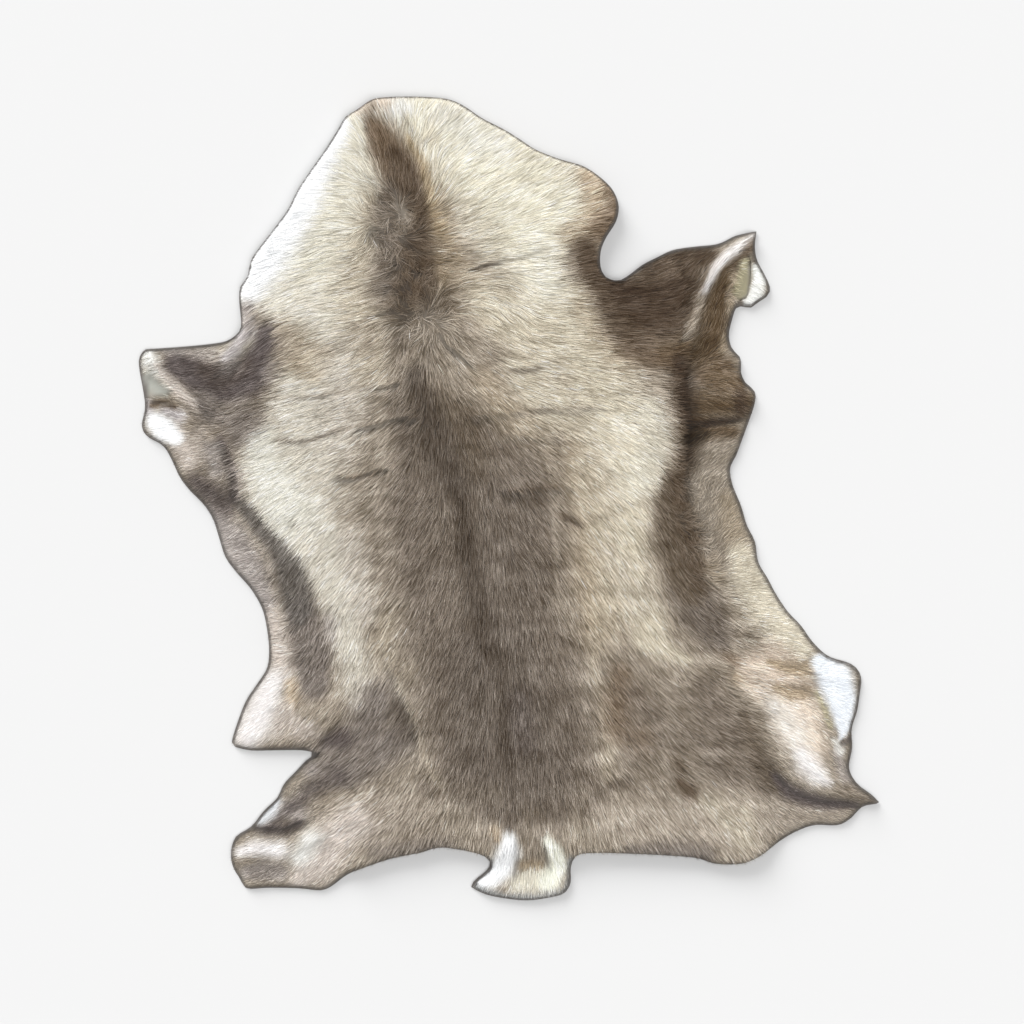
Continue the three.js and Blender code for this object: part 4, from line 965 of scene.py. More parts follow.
@dataclass
class Coat:
    """The coat's colours and combing over the whole hide."""

    form: HideForm
    ground: Tone = Tone.STONE
    rim_shade: float = 0.62
    rim_width: float = 6.0
    guide_reach: float = 34.0
    guide_window: float = 3.4  # reaches of a guide
    far_weight: float = 0.004
    far_reach: float = 2.0  # reaches of a guide
    colour: np.ndarray = field(init=False)
    comb: np.ndarray = field(init=False)
    order: np.ndarray = field(init=False)

    def __post_init__(self) -> None:
        """Paints the marks and blends the guides."""
        self.colour = self._paint()
        self.comb, self.order = self._comb()

    def _paint(self) -> np.ndarray:
        """The marks laid one over another in order, as display colours from 0 to 1.

        A stroke covers fully within half x (1 - softness) of its line and not at all beyond
        half x (1 + softness), with a soft step between.

        Returns:
            One row of red, green and blue for each grid point.
        """
        sheet = self.form.sheet
        colour = np.empty(sheet.x.shape + (3,))
        colour[:] = np.array(self.ground.value) / 255
        for tone, soft, strength, points in MARKS.values():
            rows = np.array(points, float)
            line = np.stack(to_mm(rows[:, 0], rows[:, 1]), axis=1)
            half = rows[:, 2] * SQUARE
            reach = float(half.max()) * (1 + soft)
            ratio = np.full(sheet.x.shape, 9.0)
            spans = zip(line[:-1], line[1:], half[:-1], half[1:])
            if len(line) == 1:
                spans = [(line[0], line[0], half[0], half[0])]
            for a, b, wide_a, wide_b in spans:
                win, distance, share = sheet.near_line(a, b, reach)
                width = wide_a + (wide_b - wide_a) * share
                ratio[win] = np.minimum(ratio[win], distance / width)
            cover = strength * smooth((1 + soft - ratio) / (2 * soft))
            colour += cover[..., None] * (np.array(tone.value) / 255 - colour)
        return colour

    def _comb(self) -> tuple[np.ndarray, np.ndarray]:
        """Way the hair points, and how well the guides agree on it, from 0 to 1.

        Guides are weighed by exp(-(distance / reach)^2), and much more faintly farther out, so that
        no place is without one. The mean's length is the agreement.

        Returns:
            One row of two for each grid point, and the agreement.
        """
        sheet = self.form.sheet
        comb = np.zeros(sheet.x.shape + (2,))
        weight = np.full(sheet.x.shape, 1e-9)
        for right, down, across, downward in (g for rows in GUIDES.values() for g in rows):
            x, y = to_mm(right, down)
            spread = self.guide_window * self.guide_reach
            win = sheet.window(np.array([x - spread, y - spread]), np.array([x + spread, y + spread]))
            square = (sheet.x[win] - x) ** 2 + (sheet.y[win] - y) ** 2
            near = np.exp(-square / self.guide_reach**2) + self.far_weight * np.exp(
                -square / (self.far_reach * self.guide_reach) ** 2)
            length = np.hypot(across, downward)
            comb[win] += near[..., None] * np.array([across, -downward]) / length
            weight[win] += near
        comb /= weight[..., None]
        order = np.linalg.norm(comb, axis=2)
        return comb / np.maximum(order, 1e-6)[..., None], order

    def locks(self, rng: np.random.Generator, width: float, run: float) -> np.ndarray:
        """Uneven locks lying along the combing, mean 0 and spread 1.

        Random swells are averaged over even steps up and down the way of the hair.

        Args:
            rng: the source of the random numbers.
            width: typical width of a lock, mm.
            run: its length, mm.

        Returns:
            One value for each grid point.
        """
        sheet = self.form.sheet
        swell = sheet.noise(rng, width)
        total = swell.copy()
        step = 0.6 * width
        for side in (-step, step):
            x, y = sheet.x.ravel(), sheet.y.ravel()
            for _ in range(int(run / 2 / step)):
                way = sheet.read(self.comb, x, y)
                x, y = x + side * way[:, 0], y + side * way[:, 1]
                total += sheet.read(swell, x, y).reshape(total.shape)
        return (total - total.mean()) / total.std()


def contour(sheet: Sheet, level: np.ndarray, step: int) -> tuple[np.ndarray, np.ndarray]:
    """Triangles over the part of a grid where a value is positive.

    Every step-th row and column makes square cells. A cell's corners above zero are kept, and each
    side that changes sign gives a point where the value crosses zero in a straight line. The kept
    points, in order round the cell, are joined as a fan.

    Args:
        sheet: the grid.
        level: the value at each grid point.
        step: grid points to a cell.

    Returns:
        Places in mm, one row each, and triangles of their numbers, counter-clockwise.
    """
    lv, x, y = (a[::step, ::step] for a in (level, sheet.x, sheet.y))
    lv = np.where(np.abs(lv) < 1e-6, 1e-6, lv)
    rows, columns = lv.shape
    corner = np.arange(rows * columns).reshape(rows, columns)
    points = [np.stack([x.ravel(), y.ravel()], axis=1)]

    def crossing(first: tuple, second: tuple) -> np.ndarray:
        """Adds the points where the value changes sign along the sides of one direction.

        Args:
            first: the rows and columns of each side's one end.
            second: those of its other end.

        Returns:
            The crossing point's number on each side, and -1 where there is none.
        """
        a, b = lv[first], lv[second]
        crosses = (a > 0) != (b > 0)
        t = (a / np.where(crosses, a - b, 1))[crosses]
        at = np.stack([x[first][crosses] + t * (x[second] - x[first])[crosses],
                       y[first][crosses] + t * (y[second] - y[first])[crosses]], axis=1)
        number = np.full(a.shape, -1)
        number[crosses] = sum(len(p) for p in points) + np.arange(len(at))
        points.append(at)
        return number

    every, left, right = slice(None), slice(None, -1), slice(1, None)
    across = crossing((every, left), (every, right))
    along = crossing((left, every), (right, every))
    keep = np.where(lv > 0, corner, -1)
    ring = np.stack([
        keep[:-1, :-1], across[:-1], keep[:-1, 1:], along[:, 1:],
        keep[1:, 1:], across[1:], keep[1:, :-1], along[:, :-1]], axis=-1).reshape(-1, 8)
    order = np.argsort(ring < 0, axis=1, kind="stable")
    ring = np.take_along_axis(ring, order, axis=1)
    fans = [ring[:, [0, k, k + 1]][ring[:, k + 1] >= 0] for k in range(1, 7)]
    return compact(np.concatenate(points), np.concatenate(fans))


def compact(points: np.ndarray, faces: np.ndarray) -> tuple[np.ndarray, np.ndarray]:
    """Drops the points that no face uses and renumbers the faces."""
    used, numbers = np.unique(faces, return_inverse=True)
    return points[used], numbers.reshape(faces.shape)


def shell(
    places: np.ndarray, faces: np.ndarray, top: np.ndarray, bottom: np.ndarray
) -> tuple[np.ndarray, np.ndarray]:
    """A closed solid between two heights over one set of triangles.

    The lower side is the upper one turned over, and each side that only one triangle has gets an
    upright wall.

    Args:
        places: points seen from above, mm.
        faces: triangles, counter-clockwise from above.
        top: upper height at each point.
        bottom: lower height at each point.

    Returns:
        Points in mm and triangles facing out.
    """
    count = len(places)
    sides = np.concatenate([faces[:, [0, 1]], faces[:, [1, 2]], faces[:, [2, 0]]])
    key = sides.min(axis=1) * count + sides.max(axis=1)
    _, first, uses = np.unique(key, return_index=True, return_counts=True)
    a, b = sides[first[uses == 1]].T
    walls = np.concatenate([np.stack([a, a + count, b], 1), np.stack([b, a + count, b + count], 1)])
    points = np.concatenate([np.column_stack([places, top]), np.column_stack([places, bottom])])
    return points, np.concatenate([faces, faces[:, ::-1] + count, walls])


def make_mesh(name: str, points: np.ndarray, faces: np.ndarray, is_smooth: bool) -> bpy.types.Object:
    """A mesh object at the origin from points in mm and triangles.

    Args:
        name: the piece's name.
        points: one row of three for each point, mm.
        faces: one row of three numbers for each triangle.
        is_smooth: whether its faces are shaded as one surface.

    Returns:
        The object, linked to the scene.
    """
    mesh = bpy.data.meshes.new(name)
    mesh.vertices.add(len(points))
    mesh.vertices.foreach_set("co", (points * MM).astype(np.float32).ravel())
    mesh.loops.add(faces.size)
    mesh.loops.foreach_set("vertex_index", faces.astype(np.int32).ravel())
    mesh.polygons.add(len(faces))
    mesh.polygons.foreach_set("loop_start", np.arange(0, faces.size, 3, dtype=np.int32))
    mesh.polygons.foreach_set("use_smooth", np.full(len(faces), is_smooth))
    mesh.update(calc_edges=True)
    piece = bpy.data.objects.new(name, mesh)
    bpy.context.scene.collection.objects.link(piece)
    return piece


def set_colour(piece: bpy.types.Object, colour: np.ndarray) -> None:
    """Stores a colour on each point of a piece, under the name its material reads.

    Args:
        piece: the piece.
        colour: one row of linear red, green and blue for each point.
    """
    rows = np.column_stack([colour, np.ones(len(colour))]).astype(np.float32)
    layer = piece.data.color_attributes.new(COAT_COLOUR, "FLOAT_COLOR", "POINT")
    layer.data.foreach_set("color", rows.ravel())


def set_map(piece: bpy.types.Object, faces: np.ndarray, uv: np.ndarray) -> None:
    """Stores a flat map, one place for each corner of each face."""
    layer = piece.data.uv_layers.new(name="OFBake")
    layer.data.foreach_set("uv", uv.reshape(faces.size, 2).astype(np.float32).ravel())


class Socket:
    """A value in a material's node sheet that can be added, multiplied and so on."""

    def __init__(self, sheet: "NodeSheet", output: bpy.types.NodeSocket) -> None:
        """Keeps the sheet and the output that it stands for."""
        self.sheet = sheet
        self.output = output

    def _math(self, operation: str, first: "Socket | float", second: "Socket | float") -> "Socket":
        """One Math node."""
        return self.sheet.node("ShaderNodeMath", {"operation": operation}, {0: first, 1: second})

    def __add__(self, other: "Socket | float") -> "Socket":
        """self + other."""
        return self._math("ADD", self, other)

    __radd__ = __add__

    def __mul__(self, other: "Socket | float") -> "Socket":
        """self x other."""
        return self._math("MULTIPLY", self, other)

    __rmul__ = __mul__

    def __sub__(self, other: "Socket | float") -> "Socket":
        """self - other."""
        return self._math("SUBTRACT", self, other)

    def __rsub__(self, other: float) -> "Socket":
        """other - self."""
        return self._math("SUBTRACT", other, self)


class NodeSheet:
    """One material's nodes."""

    def __init__(self, name: str) -> None:
        """Starts an empty sheet with the output alone.

        Args:
            name: the material's name.
        """
        self.material = bpy.data.materials.new(name)
        self.material.use_nodes = True
        self.tree = self.material.node_tree
        self.tree.nodes.clear()
        self.output = self.tree.nodes.new("ShaderNodeOutputMaterial")

    def node(self, kind: str, settings: dict, inputs: dict, out: int | str = 0) -> Socket:
        """Adds any node.

        Args:
            kind: the node's type.
            settings: its options, which are set first.
            inputs: values or sockets by input name or number.
            out: which output to return.

        Returns:
            The chosen output.
        """
        made = self.tree.nodes.new(kind)
        for key, value in settings.items():
            setattr(made, key, value)
        for key, value in inputs.items():
            if isinstance(value, Socket):
                self.tree.links.new(value.output, made.inputs[key])
            else:
                made.inputs[key].default_value = value
        return Socket(self, made.outputs[out])

    def tint(self, colour: Socket, shade: Socket) -> Socket:
        """A colour multiplied by a grey shade.

        Args:
            colour: the colour.
            shade: the shade, 1 for no change.

        Returns:
            The darker or lighter colour.
        """
        grey = self.node("ShaderNodeCombineColor", {}, {0: shade, 1: shade, 2: shade})
        return self.node(
            "ShaderNodeMix", {"data_type": "RGBA", "blend_type": "MULTIPLY"},
            {"Factor": 1.0, 6: colour, 7: grey}, out=2)

    def coat_colour(self) -> Socket:
        """The colour stored on the piece's points."""
        return self.node(
            "ShaderNodeAttribute",
            {"attribute_type": "GEOMETRY", "attribute_name": COAT_COLOUR}, {}, out="Color")

    def grain(self, scale: float, detail: float = 3.0) -> Socket:
        """Fractal noise on the piece's own place.

        Args:
            scale: waves per metre.
            detail: how many finer layers it has.

        Returns:
            The noise, about 0.5 in the middle.
        """
        place = self.node("ShaderNodeTexCoord", {}, {}, out="Object")
        return self.node(
            "ShaderNodeTexNoise", {}, {"Vector": place, "Scale": scale, "Detail": detail})

    def finish(self, inputs: dict) -> bpy.types.Material:
        """Joins a main shader to the output.

        Args:
            inputs: the shader's values or sockets by input name.

        Returns:
            The finished material.
        """
        shader = self.node("ShaderNodeBsdfPrincipled", {}, inputs)
        self.tree.links.new(shader.output, self.output.inputs["Surface"])
        return self.material


@dataclass(frozen=True)
class FurFinish:
    """Hair in the coat's colours: matt, with a faint sheen and a little change from place to place."""

    name: str
    roughness: float = 0.68
    sheen: float = 0.05
    mottle: float = 0.1
    mottle_scale: float = 55.0
    strand_scale: float = 900.0
    strand_change: float = 0.22
    bump: float = 0.25

    def build(self) -> bpy.types.Material:
        """Stored colour x (1 + broad mottle + fine change), rougher where the fine change is high.

        Returns:
            The material.
        """
        sheet = NodeSheet(self.name)
        broad = sheet.grain(self.mottle_scale)
        fine = sheet.grain(self.strand_scale, detail=2.0)
        shade = (broad - 0.5) * self.mottle + (fine - 0.5) * self.strand_change + 1.0
        normal = sheet.node(
            "ShaderNodeBump", {}, {"Strength": self.bump, "Distance": 0.0006, "Height": fine})
        return sheet.finish({
            "Base Color": sheet.tint(sheet.coat_colour(), shade),
            "Roughness": fine * 0.2 + (self.roughness - 0.1),
            "Specular IOR Level": 0.2,
            "Sheen Weight": self.sheen,
            "Sheen Roughness": 0.45,
            "Normal": normal,
        })


@dataclass(frozen=True)
class SkinFinish:
    """Tanned skin: soft suede with faint pores and creases."""

    name: str = "tanned_skin"
    roughness: float = 0.8
    mottle: float = 0.14
    mottle_scale: float = 32.0
    pore_scale: float = 700.0
    pore_change: float = 0.12

    def build(self) -> bpy.types.Material:
        """Stored colour x (1 + broad mottle + pores), with the pores raised in a bump.

        Returns:
            The material.
        """
        sheet = NodeSheet(self.name)
        broad = sheet.grain(self.mottle_scale)
        pores = sheet.grain(self.pore_scale, detail=4.0)
        shade = (broad - 0.5) * self.mottle + (pores - 0.5) * self.pore_change + 1.0
        normal = sheet.node(
            "ShaderNodeBump", {}, {"Strength": 0.3, "Distance": 0.0004, "Height": pores})
        return sheet.finish({
            "Base Color": sheet.tint(sheet.coat_colour(), shade),
            "Roughness": broad * 0.15 + (self.roughness - 0.07),
            "Specular IOR Level": 0.3,
            "Normal": normal,
        })


@dataclass(frozen=True)
class FloorFinish:
    """A plain pale studio floor."""

    name: str = "studio_floor"
    colour: tuple[float, float, float] = (0.512, 0.512, 0.512)
    mottle: float = 0.004
    mottle_scale: float = 3.0

    def build(self) -> bpy.types.Material:
        """One pale tone with a barely seen unevenness.

        Returns:
            The material.
        """
        sheet = NodeSheet(self.name)
        shade = (sheet.grain(self.mottle_scale) - 0.5) * self.mottle + 1.0
        plain = sheet.node("ShaderNodeRGB", {}, {})
        plain.output.default_value = (*self.colour, 1.0)
        return sheet.finish({
            "Base Color": sheet.tint(plain, shade), "Roughness": 0.9, "Specular IOR Level": 0.1})


@dataclass
class TannedSkin:
    """The thin skin under the coat: its flesh side rests on the floor, and it shows at bare places."""

    form: HideForm
    coat: Coat
    thickness: float = 2.2
    inset: float = 0.5
    cell: int = 3
    flesh: tuple[int, int, int] = (222, 212, 190)
    open_light: float = 0.62
    # grey of the skin's cut edge, darkened to stand in for painted shade along the rim
    cut_edge_and_shade: tuple[int, int, int] = (108, 103, 99)
    rim_width: float = 7.0

    def build(self) -> bpy.types.Object:
        """Makes the sheet: lower side at the lift of the folds, upper side one thickness above.

        Returns:
            The piece.
        """
        sheet = self.form.sheet
        places, faces = contour(sheet, self.form.depth - self.inset, self.cell)
        base = sheet.read(self.form.lift, *places.T)
        base = np.where(base < 0.05, 0.0, base)
        points, solid = shell(places, faces, base + self.thickness, base)
        piece = make_mesh("tanned_skin", points, solid, is_smooth=False)
        self._colour(piece, places)
        self._map(piece, points, solid)
        piece.data.materials.append(SkinFinish().build())
        return piece

    def _colour(self, piece: bpy.types.Object, places: np.ndarray) -> None:
        """Coat tones at bare places on top, pale suede below, and a grey cut edge with painted shade along
        the rim.

        Args:
            piece: the skin.
            places: its points seen from above, mm, the same for both sides.
        """
        sheet = self.form.sheet
        # painted shade: near the rim the top and the flesh side turn towards the shaded grey of the cut
        # edge
        rim = smooth(1.4 - sheet.read(self.form.depth, *places.T) / self.rim_width)[:, None]
        top = sheet.read(self.coat.colour, *places.T) * 255
        top += rim * (np.array(self.cut_edge_and_shade) - top)
        below = np.array(self.flesh) + rim * 0.6 * (np.array(self.cut_edge_and_shade) - np.array(self.flesh))
        set_colour(piece, to_linear(np.concatenate([top, below])) * self.open_light)

    def _map(self, piece: bpy.types.Object, points: np.ndarray, solid: np.ndarray) -> None:
        """Upper side on the left half of the map and lower side on the right half.

        Args:
            piece: the skin.
            points: its points, mm, upper side first.
            solid: its triangles.
        """
        half = len(points) // 2
        across = (points[:, 0] + self.form.sheet.half_width) / (2 * self.form.sheet.half_width)
        along = (points[:, 1] + self.form.sheet.half_length) / (2 * self.form.sheet.half_length)
        across = across / 2 + np.where(np.arange(len(points)) < half, 0.0, 0.5)
        set_map(piece, solid, np.stack([across, along], axis=1)[solid])


class Region(Enum):
    """Bands of the hide whose standing hair is one piece each: lowest and highest place, mm."""

    NECK = (285, 700)
    SHOULDERS = (110, 285)
    BACK = (-65, 110)
    LOIN = (-245, -65)
    RUMP = (-415, -245)
    HAUNCHES = (-700, -415)


@dataclass
class StandingHair:
    """The coarse outer hair: each one a slim closed spike rooted in the under-fur.

    Attributes:
        form: the hide's shape.
        coat: its colours and combing.
        spacing: mm between roots on the honeycomb.
        shake: how far a root strays from it, in spacings.
        length: a full hair's length, mm.
        width: its width at the root, mm.
        spread: least and greatest share of the length or width.
        rise: mm that the hair stands above the under-fur.
        keel: height of a spike's back, in half widths.
        edge_gap: mm from the rim within which no hair is rooted or ends.
        edge_fray: least and greatest mm by which a hair's end misses it.
        neck_gap: how much wider the gap is on the neck, mm.
        ruff_start: mm from the hide's middle to the neck's longer hair.
        ruff_run: mm over which it grows to its full length.
        ruff_growth: share by which it is longer there.
        warp: mm by which the combing wavers.
        wave: angle of the broad waves in its way.
        ripple: angle of the fine ones.
        stray: angle by which a single hair strays.
        lock_width: typical width of a lock, mm.
        lock_run: its length, mm.
        lock_pull: mm by which tips are drawn into their lock.
        lock_rise: mm by which a lock's middle stands higher.
        dark_hairs: share of the hairs that are darker.
        light_hairs: share that are lighter.
        parting_shade: share by which an open wrinkle is darker.
        shine: linear light taken off each colour for what the hair throws back.
    """

    form: HideForm
    coat: Coat
    spacing: float = 2.14
    shake: float = 0.42
    length: float = 19.0
    width: float = 1.08
    spread: tuple[float, float] = (0.7, 1.3)
    rise: float = 3.2
    keel: float = 0.8
    edge_gap: float = 3.4
    edge_fray: tuple[float, float] = (-5.5, 1.4)
    neck_gap: float = 2.2
    ruff_start: float = 80.0
    ruff_run: float = 200.0
    ruff_growth: float = 0.32
    warp: float = 8.0
    wave: float = 0.10
    ripple: float = 0.08
    stray: float = 0.12
    lock_width: float = 7.0
    lock_run: float = 26.0
    lock_pull: float = 1.4
    lock_rise: float = 0.9
    dark_hairs: float = 0.12
    light_hairs: float = 0.16
    parting_shade: float = 0.4
    shine: float = 0.008

    def __post_init__(self) -> None:
        """Roots every hair and works out its way, length and colour."""
        self.rng = np.random.default_rng(SEED)
        self.lock = self.coat.locks(self.rng, self.lock_width, self.lock_run)
        self.ruff = smooth((self.form.sheet.y - self.ruff_start) / self.ruff_run)
        self.shag = self._shag()
        self.opening = self._partings()
        self._plant()
        self._grow()
        self._tint()

    def under_fur_top(self) -> np.ndarray:
        """Height of the under-fur, below the coat's top by the hair's rise."""
        form = self.form
        return np.maximum(form.top - self.rise * form.round, form.lift + 2.6)

    def _at_roots(self, values: np.ndarray) -> np.ndarray:
        """A grid's values at the hairs' roots."""
        return self.form.sheet.read(values, self.x, self.y)

    def _shag(self) -> np.ndarray:
        """How far the hair parts into locks: most on the neck, least where the coat is short."""
        full = smooth((self.form.top - self.form.lift - 12) / 12)
        return 0.12 + (0.18 + 0.3 * self.ruff) * full

    def _partings(self) -> np.ndarray:
        """How open the coat is along its wrinkles: strength x soft step of 1.5 - distance / half.

        Returns:
            One value from 0 to 1 for each grid point.
        """
        sheet = self.form.sheet
        opening = np.zeros(sheet.x.shape)
        for strength, half, path in PARTINGS.values():
            line = np.stack(to_mm(*np.array(path, float).T), axis=1)
            distance = sheet.to_path(line, 3 * half * SQUARE) / (half * SQUARE)
            opening = np.maximum(opening, strength * smooth(1.5 - distance))
        return opening

    def _plant(self) -> None:
        """Roots on a shaken honeycomb, kept off the rim and the bare skin."""
        sheet = self.form.sheet
        row = self.spacing * np.sqrt(3) / 2
        across, along = int(sheet.half_width / self.spacing), int(sheet.half_length / row)
        i, j = np.meshgrid(np.arange(-across, across + 1), np.arange(-along, along + 1))
        x = ((i + 0.5 * (j & 1)) * self.spacing).ravel()
        y = (j * row).ravel()
        x += self.rng.uniform(-self.shake, self.shake, x.shape) * self.spacing
        y += self.rng.uniform(-self.shake, self.shake, y.shape) * self.spacing
        inside = sheet.read(self.form.depth, x, y) > self.edge_gap
        inside &= sheet.read(self.form.bare, x, y) < 0.5
        self.x, self.y = x[inside], y[inside]

    def _lengths(self, way: np.ndarray) -> np.ndarray:
        """Hair lengths: longer on the neck, shorter on a short coat and where the combing turns.

        A hair whose tip would pass the edge's line ends at it, by the share of its run that lies
        inside. One that would cross an open wrinkle may end there.

        Args:
            way: the way each hair points.

        Returns:
            One length for each hair, mm.
        """
        form, read = self.form, self.form.sheet.read
        ruff = self._at_roots(self.ruff)
        depth = np.maximum(self._at_roots(form.top - form.lift) - RIM_HEIGHT, 0)
        short = np.clip(depth / (BACK_PILE - RIM_HEIGHT), 0.25, 1) ** 0.6
        short *= 1 + self.ruff_growth * ruff
        short *= 0.68 + 0.32 * np.clip(self._at_roots(self.coat.order), 0, 1)
        length = self.length * short * self.rng.uniform(*self.spread, len(self.x))
        root = self._at_roots(form.depth)
        tip = read(form.depth, self.x + way[:, 0] * length, self.y + way[:, 1] * length)
        stop = self.edge_gap + self.neck_gap * ruff
        stop += self.rng.uniform(*self.edge_fray, len(self.x)) * (1 - 0.4 * ruff)
        share = (root - stop) / np.maximum(root - tip, 0.5)
        length = np.where(tip < stop, length * share, length)
        limit = self.rng.uniform(0.2, 0.95, len(self.x))
        cut = length.copy()
        for share in np.linspace(1, 0.15, 9):
            run = way * (length * share)[:, None]
            open_here = read(self.opening, self.x + run[:, 0], self.y + run[:, 1]) > limit
            cut = np.where(open_here, length * (share - 0.08), cut)
        return np.maximum(cut, 2.5)

    def _grow(self) -> None:
        """Each spike's four points: two at its root's sides, one on its back, and the tip.

        The way is the combing's, read a little to one side so that its lines waver, and turned by
        waves and by each hair's own stray angle, more where the guides disagree. The root lies just
        under the top of the under-fur. The tip lies one length along the way, drawn towards the
        middle of its lock, at the coat's top there.
        """
        sheet, form, rng = self.form.sheet, self.form, self.rng
        count = len(self.x)
        unsure = self.warp * (1 + 3 * (1 - np.clip(self.coat.order, 0, 1)))
        stray_x, stray_y = (sheet.noise(rng, 26.0) * unsure for _ in range(2))
        comb = sheet.read(
            self.coat.comb, self.x + self._at_roots(stray_x), self.y + self._at_roots(stray_y))
        comb /= np.maximum(np.linalg.norm(comb, axis=1, keepdims=True), 1e-6)
        loose = 1 + 8 * (1 - np.clip(self._at_roots(self.coat.order), 0, 1)) ** 1.2
        drift = (sheet.noise(rng, 20.0) * self.wave + sheet.noise(rng, 9.0) * self.ripple) * self.shag
        stray = rng.normal(0, 1, count) * (self.stray - 0.05 * self._at_roots(self.ruff))
        turn = (self._at_roots(drift) + stray) * loose
        cos, sin = np.cos(turn), np.sin(turn)
        way = np.stack([comb[:, 0] * cos - comb[:, 1] * sin, comb[:, 0] * sin + comb[:, 1] * cos], 1)
        length = self._lengths(way)[:, None]
        along, across = np.gradient(self.lock, sheet.pitch)
        pull = np.stack([self._at_roots(across), self._at_roots(along)], 1)
        pull *= self.lock_pull * 3 / np.maximum(np.linalg.norm(pull, axis=1, keepdims=True) * 3, 1)
        shag = self._at_roots(self.shag)
        pull *= np.clip(length / self.length, 0, 1) * shag[:, None]
        tip = np.stack([self.x, self.y], 1) + way * length + pull
        bed = self._at_roots(self.under_fur_top())
        lift = self.lock_rise * shag * self._at_roots(self.lock)
        lift += rng.normal(0.3, 1.0, count)
        lift = np.clip(lift, -2.5, 4.0) * np.clip(length[:, 0] / 12, 0.2, 1)
        height = sheet.read(form.top, tip[:, 0], tip[:, 1]) + lift
        root = np.column_stack([self.x, self.y, bed - 0.8])
        tip = np.column_stack([tip, np.maximum(height, bed + 0.2 * length[:, 0] - 2.5)])
        run = tip - root
        run /= np.linalg.norm(run, axis=1, keepdims=True)
        side = np.cross(run, [0, 0, 1.0])
        side /= np.maximum(np.linalg.norm(side, axis=1, keepdims=True), 1e-6)
        wide = self.width * rng.uniform(*self.spread, (count, 1)) / 2 * np.clip(length / 14, 0.6, 1)
        back = root + np.cross(side, run) * wide * self.keel
        self.points = np.stack([root + side * wide, root - side * wide, back, tip], 1)

    def _tint(self) -> None:
        """Root and tip colours: the coat's colour, with each hair a little lighter or darker.

        The change from hair to hair is greatest on a middling tone and least on a dark one or on a
        short hair. A few hairs are much darker or lighter, locks and broad patches shift faintly,
        and the rim and the open wrinkles are in shade. Roots are darker than the coat and tips
        lighter, most so on a dark coat.
        """
        sheet, rng = self.form.sheet, self.rng
        mid = (0.4 * self.points[:, 2, :2] + 0.6 * self.points[:, 3, :2]).T
        colour = sheet.read(self.coat.colour, *mid)
        tone = colour.mean(axis=1)
        middling = 4 * tone**1.5 * (1 - tone**1.5)
        streak = rng.normal(0, 1, len(self.x)) * (0.055 + 0.06 * middling)
        streak -= 0.10 * (rng.random(len(self.x)) < self.dark_hairs)
        streak += 0.15 * middling * (rng.random(len(self.x)) < self.light_hairs)
        fade = np.linalg.norm(self.points[:, 3] - self.points[:, 2], axis=1) / self.length
        streak *= np.minimum(0.4 + 0.9 * tone, 1) * (0.6 + 0.4 * np.clip(fade, 0, 1))
        streak += 0.02 * sheet.read(self.lock * self.shag, *mid)
        streak += 0.015 * self._at_roots(sheet.noise(rng, 24.0))
        streak += 0.03 * middling * sheet.read(sheet.noise(rng, 17.0, across=3.0), *mid)
        inward = sheet.read(self.form.depth, *mid) - self.edge_gap
        shade = self.coat.rim_shade + (1 - self.coat.rim_shade) * smooth(inward / self.coat.rim_width)
        shade *= 1 - self.parting_shade * self._at_roots(self.opening)
        base = np.clip((colour + streak[:, None]) * shade[:, None], 0.02, 0.995)
        drop = (0.5 - 0.36 * tone) * np.clip(fade, 0.3, 1)
        root = to_linear(base * (1 - drop[:, None]) * 255)
        tip = to_linear(np.clip(base * (1.23 - 0.21 * tone[:, None]), 0, 1) * 255)
        colours = np.stack([root, root, root, tip], axis=1)
        self.colours = np.maximum(colours * 1.02 - self.shine, 0.3 * colours)

    def build(self, region: Region) -> bpy.types.Object:
        """Joins one region's hairs into a piece.

        Args:
            region: the band whose hair to make.

        Returns:
            The piece, with its map of one small cell to a hair.
        """
        low, high = region.value
        chosen = (self.y >= low) & (self.y < high)
        points, colours = self.points[chosen], self.colours[chosen]
        count = len(points)
        faces = (np.array([[0, 1, 3], [1, 2, 3], [2, 0, 3], [1, 0, 2]])[None]
                 + 4 * np.arange(count)[:, None, None]).reshape(-1, 3)
        piece = make_mesh(f"hair_{region.name.lower()}", points.reshape(-1, 3), faces, is_smooth=False)
        set_colour(piece, colours.reshape(-1, 3))
        cells = int(np.ceil(np.sqrt(count)))
        corner = np.stack([np.arange(count) % cells, np.arange(count) // cells], axis=1)
        spots = np.array([[0.12, 0.2], [0.88, 0.2], [0.5, 0.06], [0.5, 0.94]])
        uv = ((corner[:, None] + spots) / cells).reshape(-1, 2)
        set_map(piece, faces, uv[faces])
        return piece


@dataclass
class UnderFur:
    """The dense bed of fine fur between the skin and the standing hair."""

    form: HideForm
    coat: Coat
    hair: StandingHair
    inset: float = 5.0
    cell: int = 3
    shade: float = 0.86
    dark_shade: float = 0.4

    def build(self) -> bpy.types.Object:
        """Makes the bed, open where the skin is bare, in a darker shade of the coat.

        Returns:
            The piece.
        """
        sheet = self.form.sheet
        level = np.minimum(self.form.depth - self.inset, -self.form.bare - 0.5)
        places, faces = contour(sheet, level, self.cell)
        top = sheet.read(self.hair.under_fur_top(), *places.T)
        bottom = sheet.read(self.form.lift, *places.T) + 2.2
        points, solid = shell(places, faces, np.maximum(top, bottom + 0.4), bottom)
        piece = make_mesh("under_fur", points, solid, is_smooth=True)
        colour = sheet.read(self.coat.colour, *places.T)
        colour *= self.shade - self.dark_shade * (1 - colour.mean(axis=1, keepdims=True))
        set_colour(piece, to_linear(np.concatenate([colour, colour]) * 255))
        half = np.array([sheet.half_width, sheet.half_length])
        set_map(piece, solid, ((points[:, :2] + half) / (2 * half))[solid])
        return piece


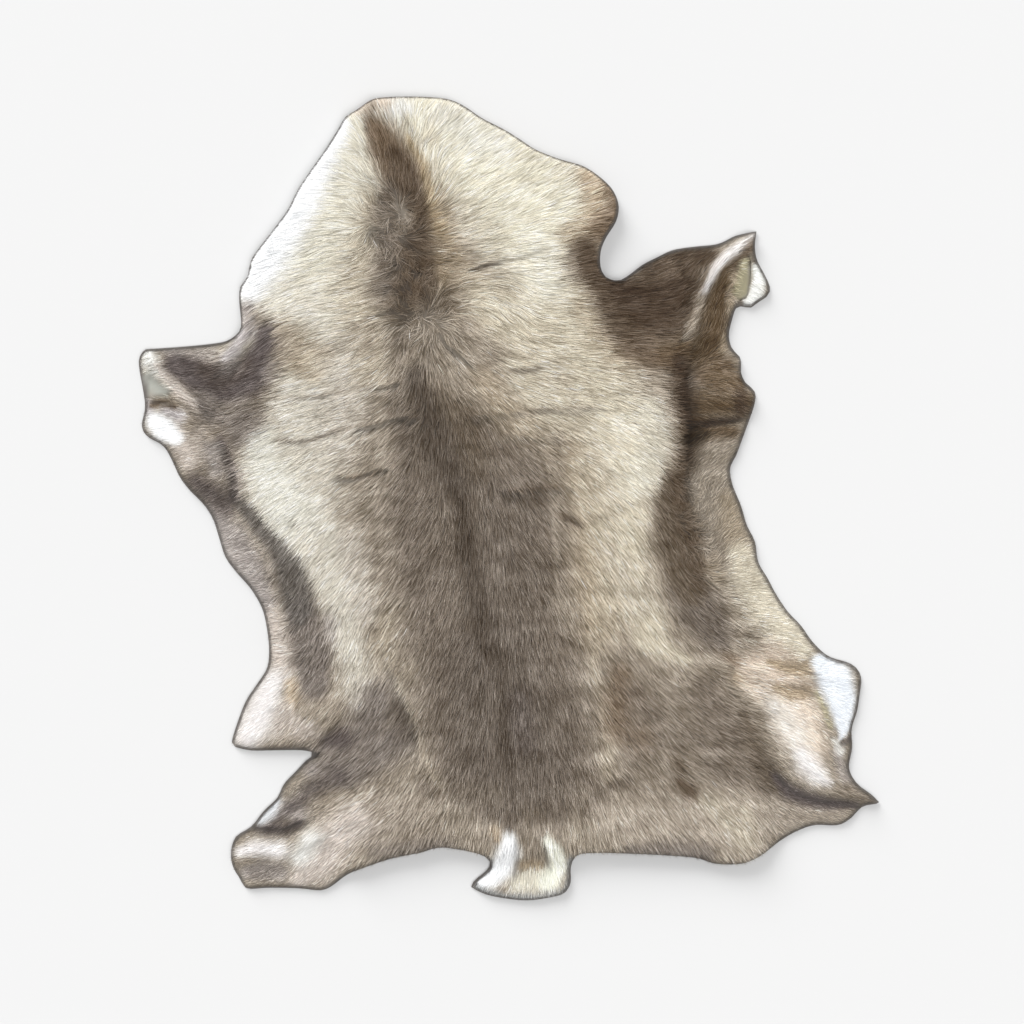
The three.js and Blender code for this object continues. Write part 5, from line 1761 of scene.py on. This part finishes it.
@dataclass(frozen=True)
class SoftSun:
    """Even light from a wide patch of sky: the way it comes from, its spread and its strength."""

    name: str
    source: tuple[float, float, float]
    spread: float
    strength: float

    def build(self) -> None:
        """Hangs the light, facing the hide's middle."""
        data = bpy.data.lights.new(self.name, "SUN")
        data.angle = self.spread
        data.energy = self.strength
        lamp = bpy.data.objects.new(self.name, data)
        lamp.location = self.source
        lamp.rotation_mode = "QUATERNION"
        lamp.rotation_quaternion = (-Vector(self.source)).to_track_quat("-Z", "Y")
        bpy.context.scene.collection.objects.link(lamp)


@dataclass
class Studio:
    """The pale floor, the soft lamps and the camera straight above."""

    floor_size: float = 80.0
    lens: float = 85.0
    picture_width: float = 1024 * SQUARE * MM
    picture_middle: tuple[float, float] = (0.0015, -0.02025)
    sky: float = 0.62
    drop: float = 0.4  # mm from the hide's flesh side down to the floor

    def build(self) -> None:
        """Makes the floor, lamps, sky and camera."""
        half = self.floor_size / 2 / MM
        corners = np.array([[-half, -half, 0], [half, -half, 0], [half, half, 0], [-half, half, 0]], float)
        corners -= [0, 0, self.drop]
        floor = make_mesh("floor", corners, np.array([[0, 1, 2], [0, 2, 3]]), is_smooth=False)
        floor.data.materials.append(FloorFinish().build())
        SoftSun("window", source=(1.0, -1.5, 3.4), spread=0.6, strength=2.15).build()
        SoftSun("low_window", source=(-1.7, 2.75, 1.45), spread=0.6, strength=4.4).build()
        world = bpy.data.worlds.new("studio_sky")
        world.use_nodes = True
        background = world.node_tree.nodes["Background"]
        background.inputs["Color"].default_value = (1, 1, 1, 1)
        background.inputs["Strength"].default_value = self.sky
        bpy.context.scene.world = world
        bpy.context.scene.view_settings.view_transform = "Standard"
        self._camera()

    def _camera(self) -> None:
        """Straight above, so far off that the picture's width is seen: width x lens / sensor."""
        data = bpy.data.cameras.new("camera")
        data.lens = self.lens
        data.sensor_width = 36.0
        data.clip_end = 50.0
        camera = bpy.data.objects.new("camera", data)
        camera.location = (*self.picture_middle, self.picture_width * self.lens / data.sensor_width)
        bpy.context.scene.collection.objects.link(camera)
        bpy.context.scene.camera = camera


def main() -> None:
    """Builds the skin, the under-fur, the hair and the studio round the hide's solid."""
    logging.basicConfig(level=logging.INFO, format="%(message)s")
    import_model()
    form = HideForm(Sheet())
    coat = Coat(form)
    hair = StandingHair(form, coat)
    skin = TannedSkin(form, coat).build()
    under_fur = UnderFur(form, coat, hair).build()
    under_fur.data.materials.append(FurFinish("under_fur", bump=0.5, sheen=0.1).build())
    fur_finish = FurFinish("standing_hair").build()
    pieces = [under_fur]
    for region in Region:
        piece = hair.build(region)
        piece.data.materials.append(fur_finish)
        pieces.append(piece)
    for piece in [skin, *pieces]:
        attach(piece, "root")
        log.info("%s: %d faces", piece.name, len(piece.data.polygons))
    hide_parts("hide")
    Studio().build()


if __name__ == "__main__":
    main()
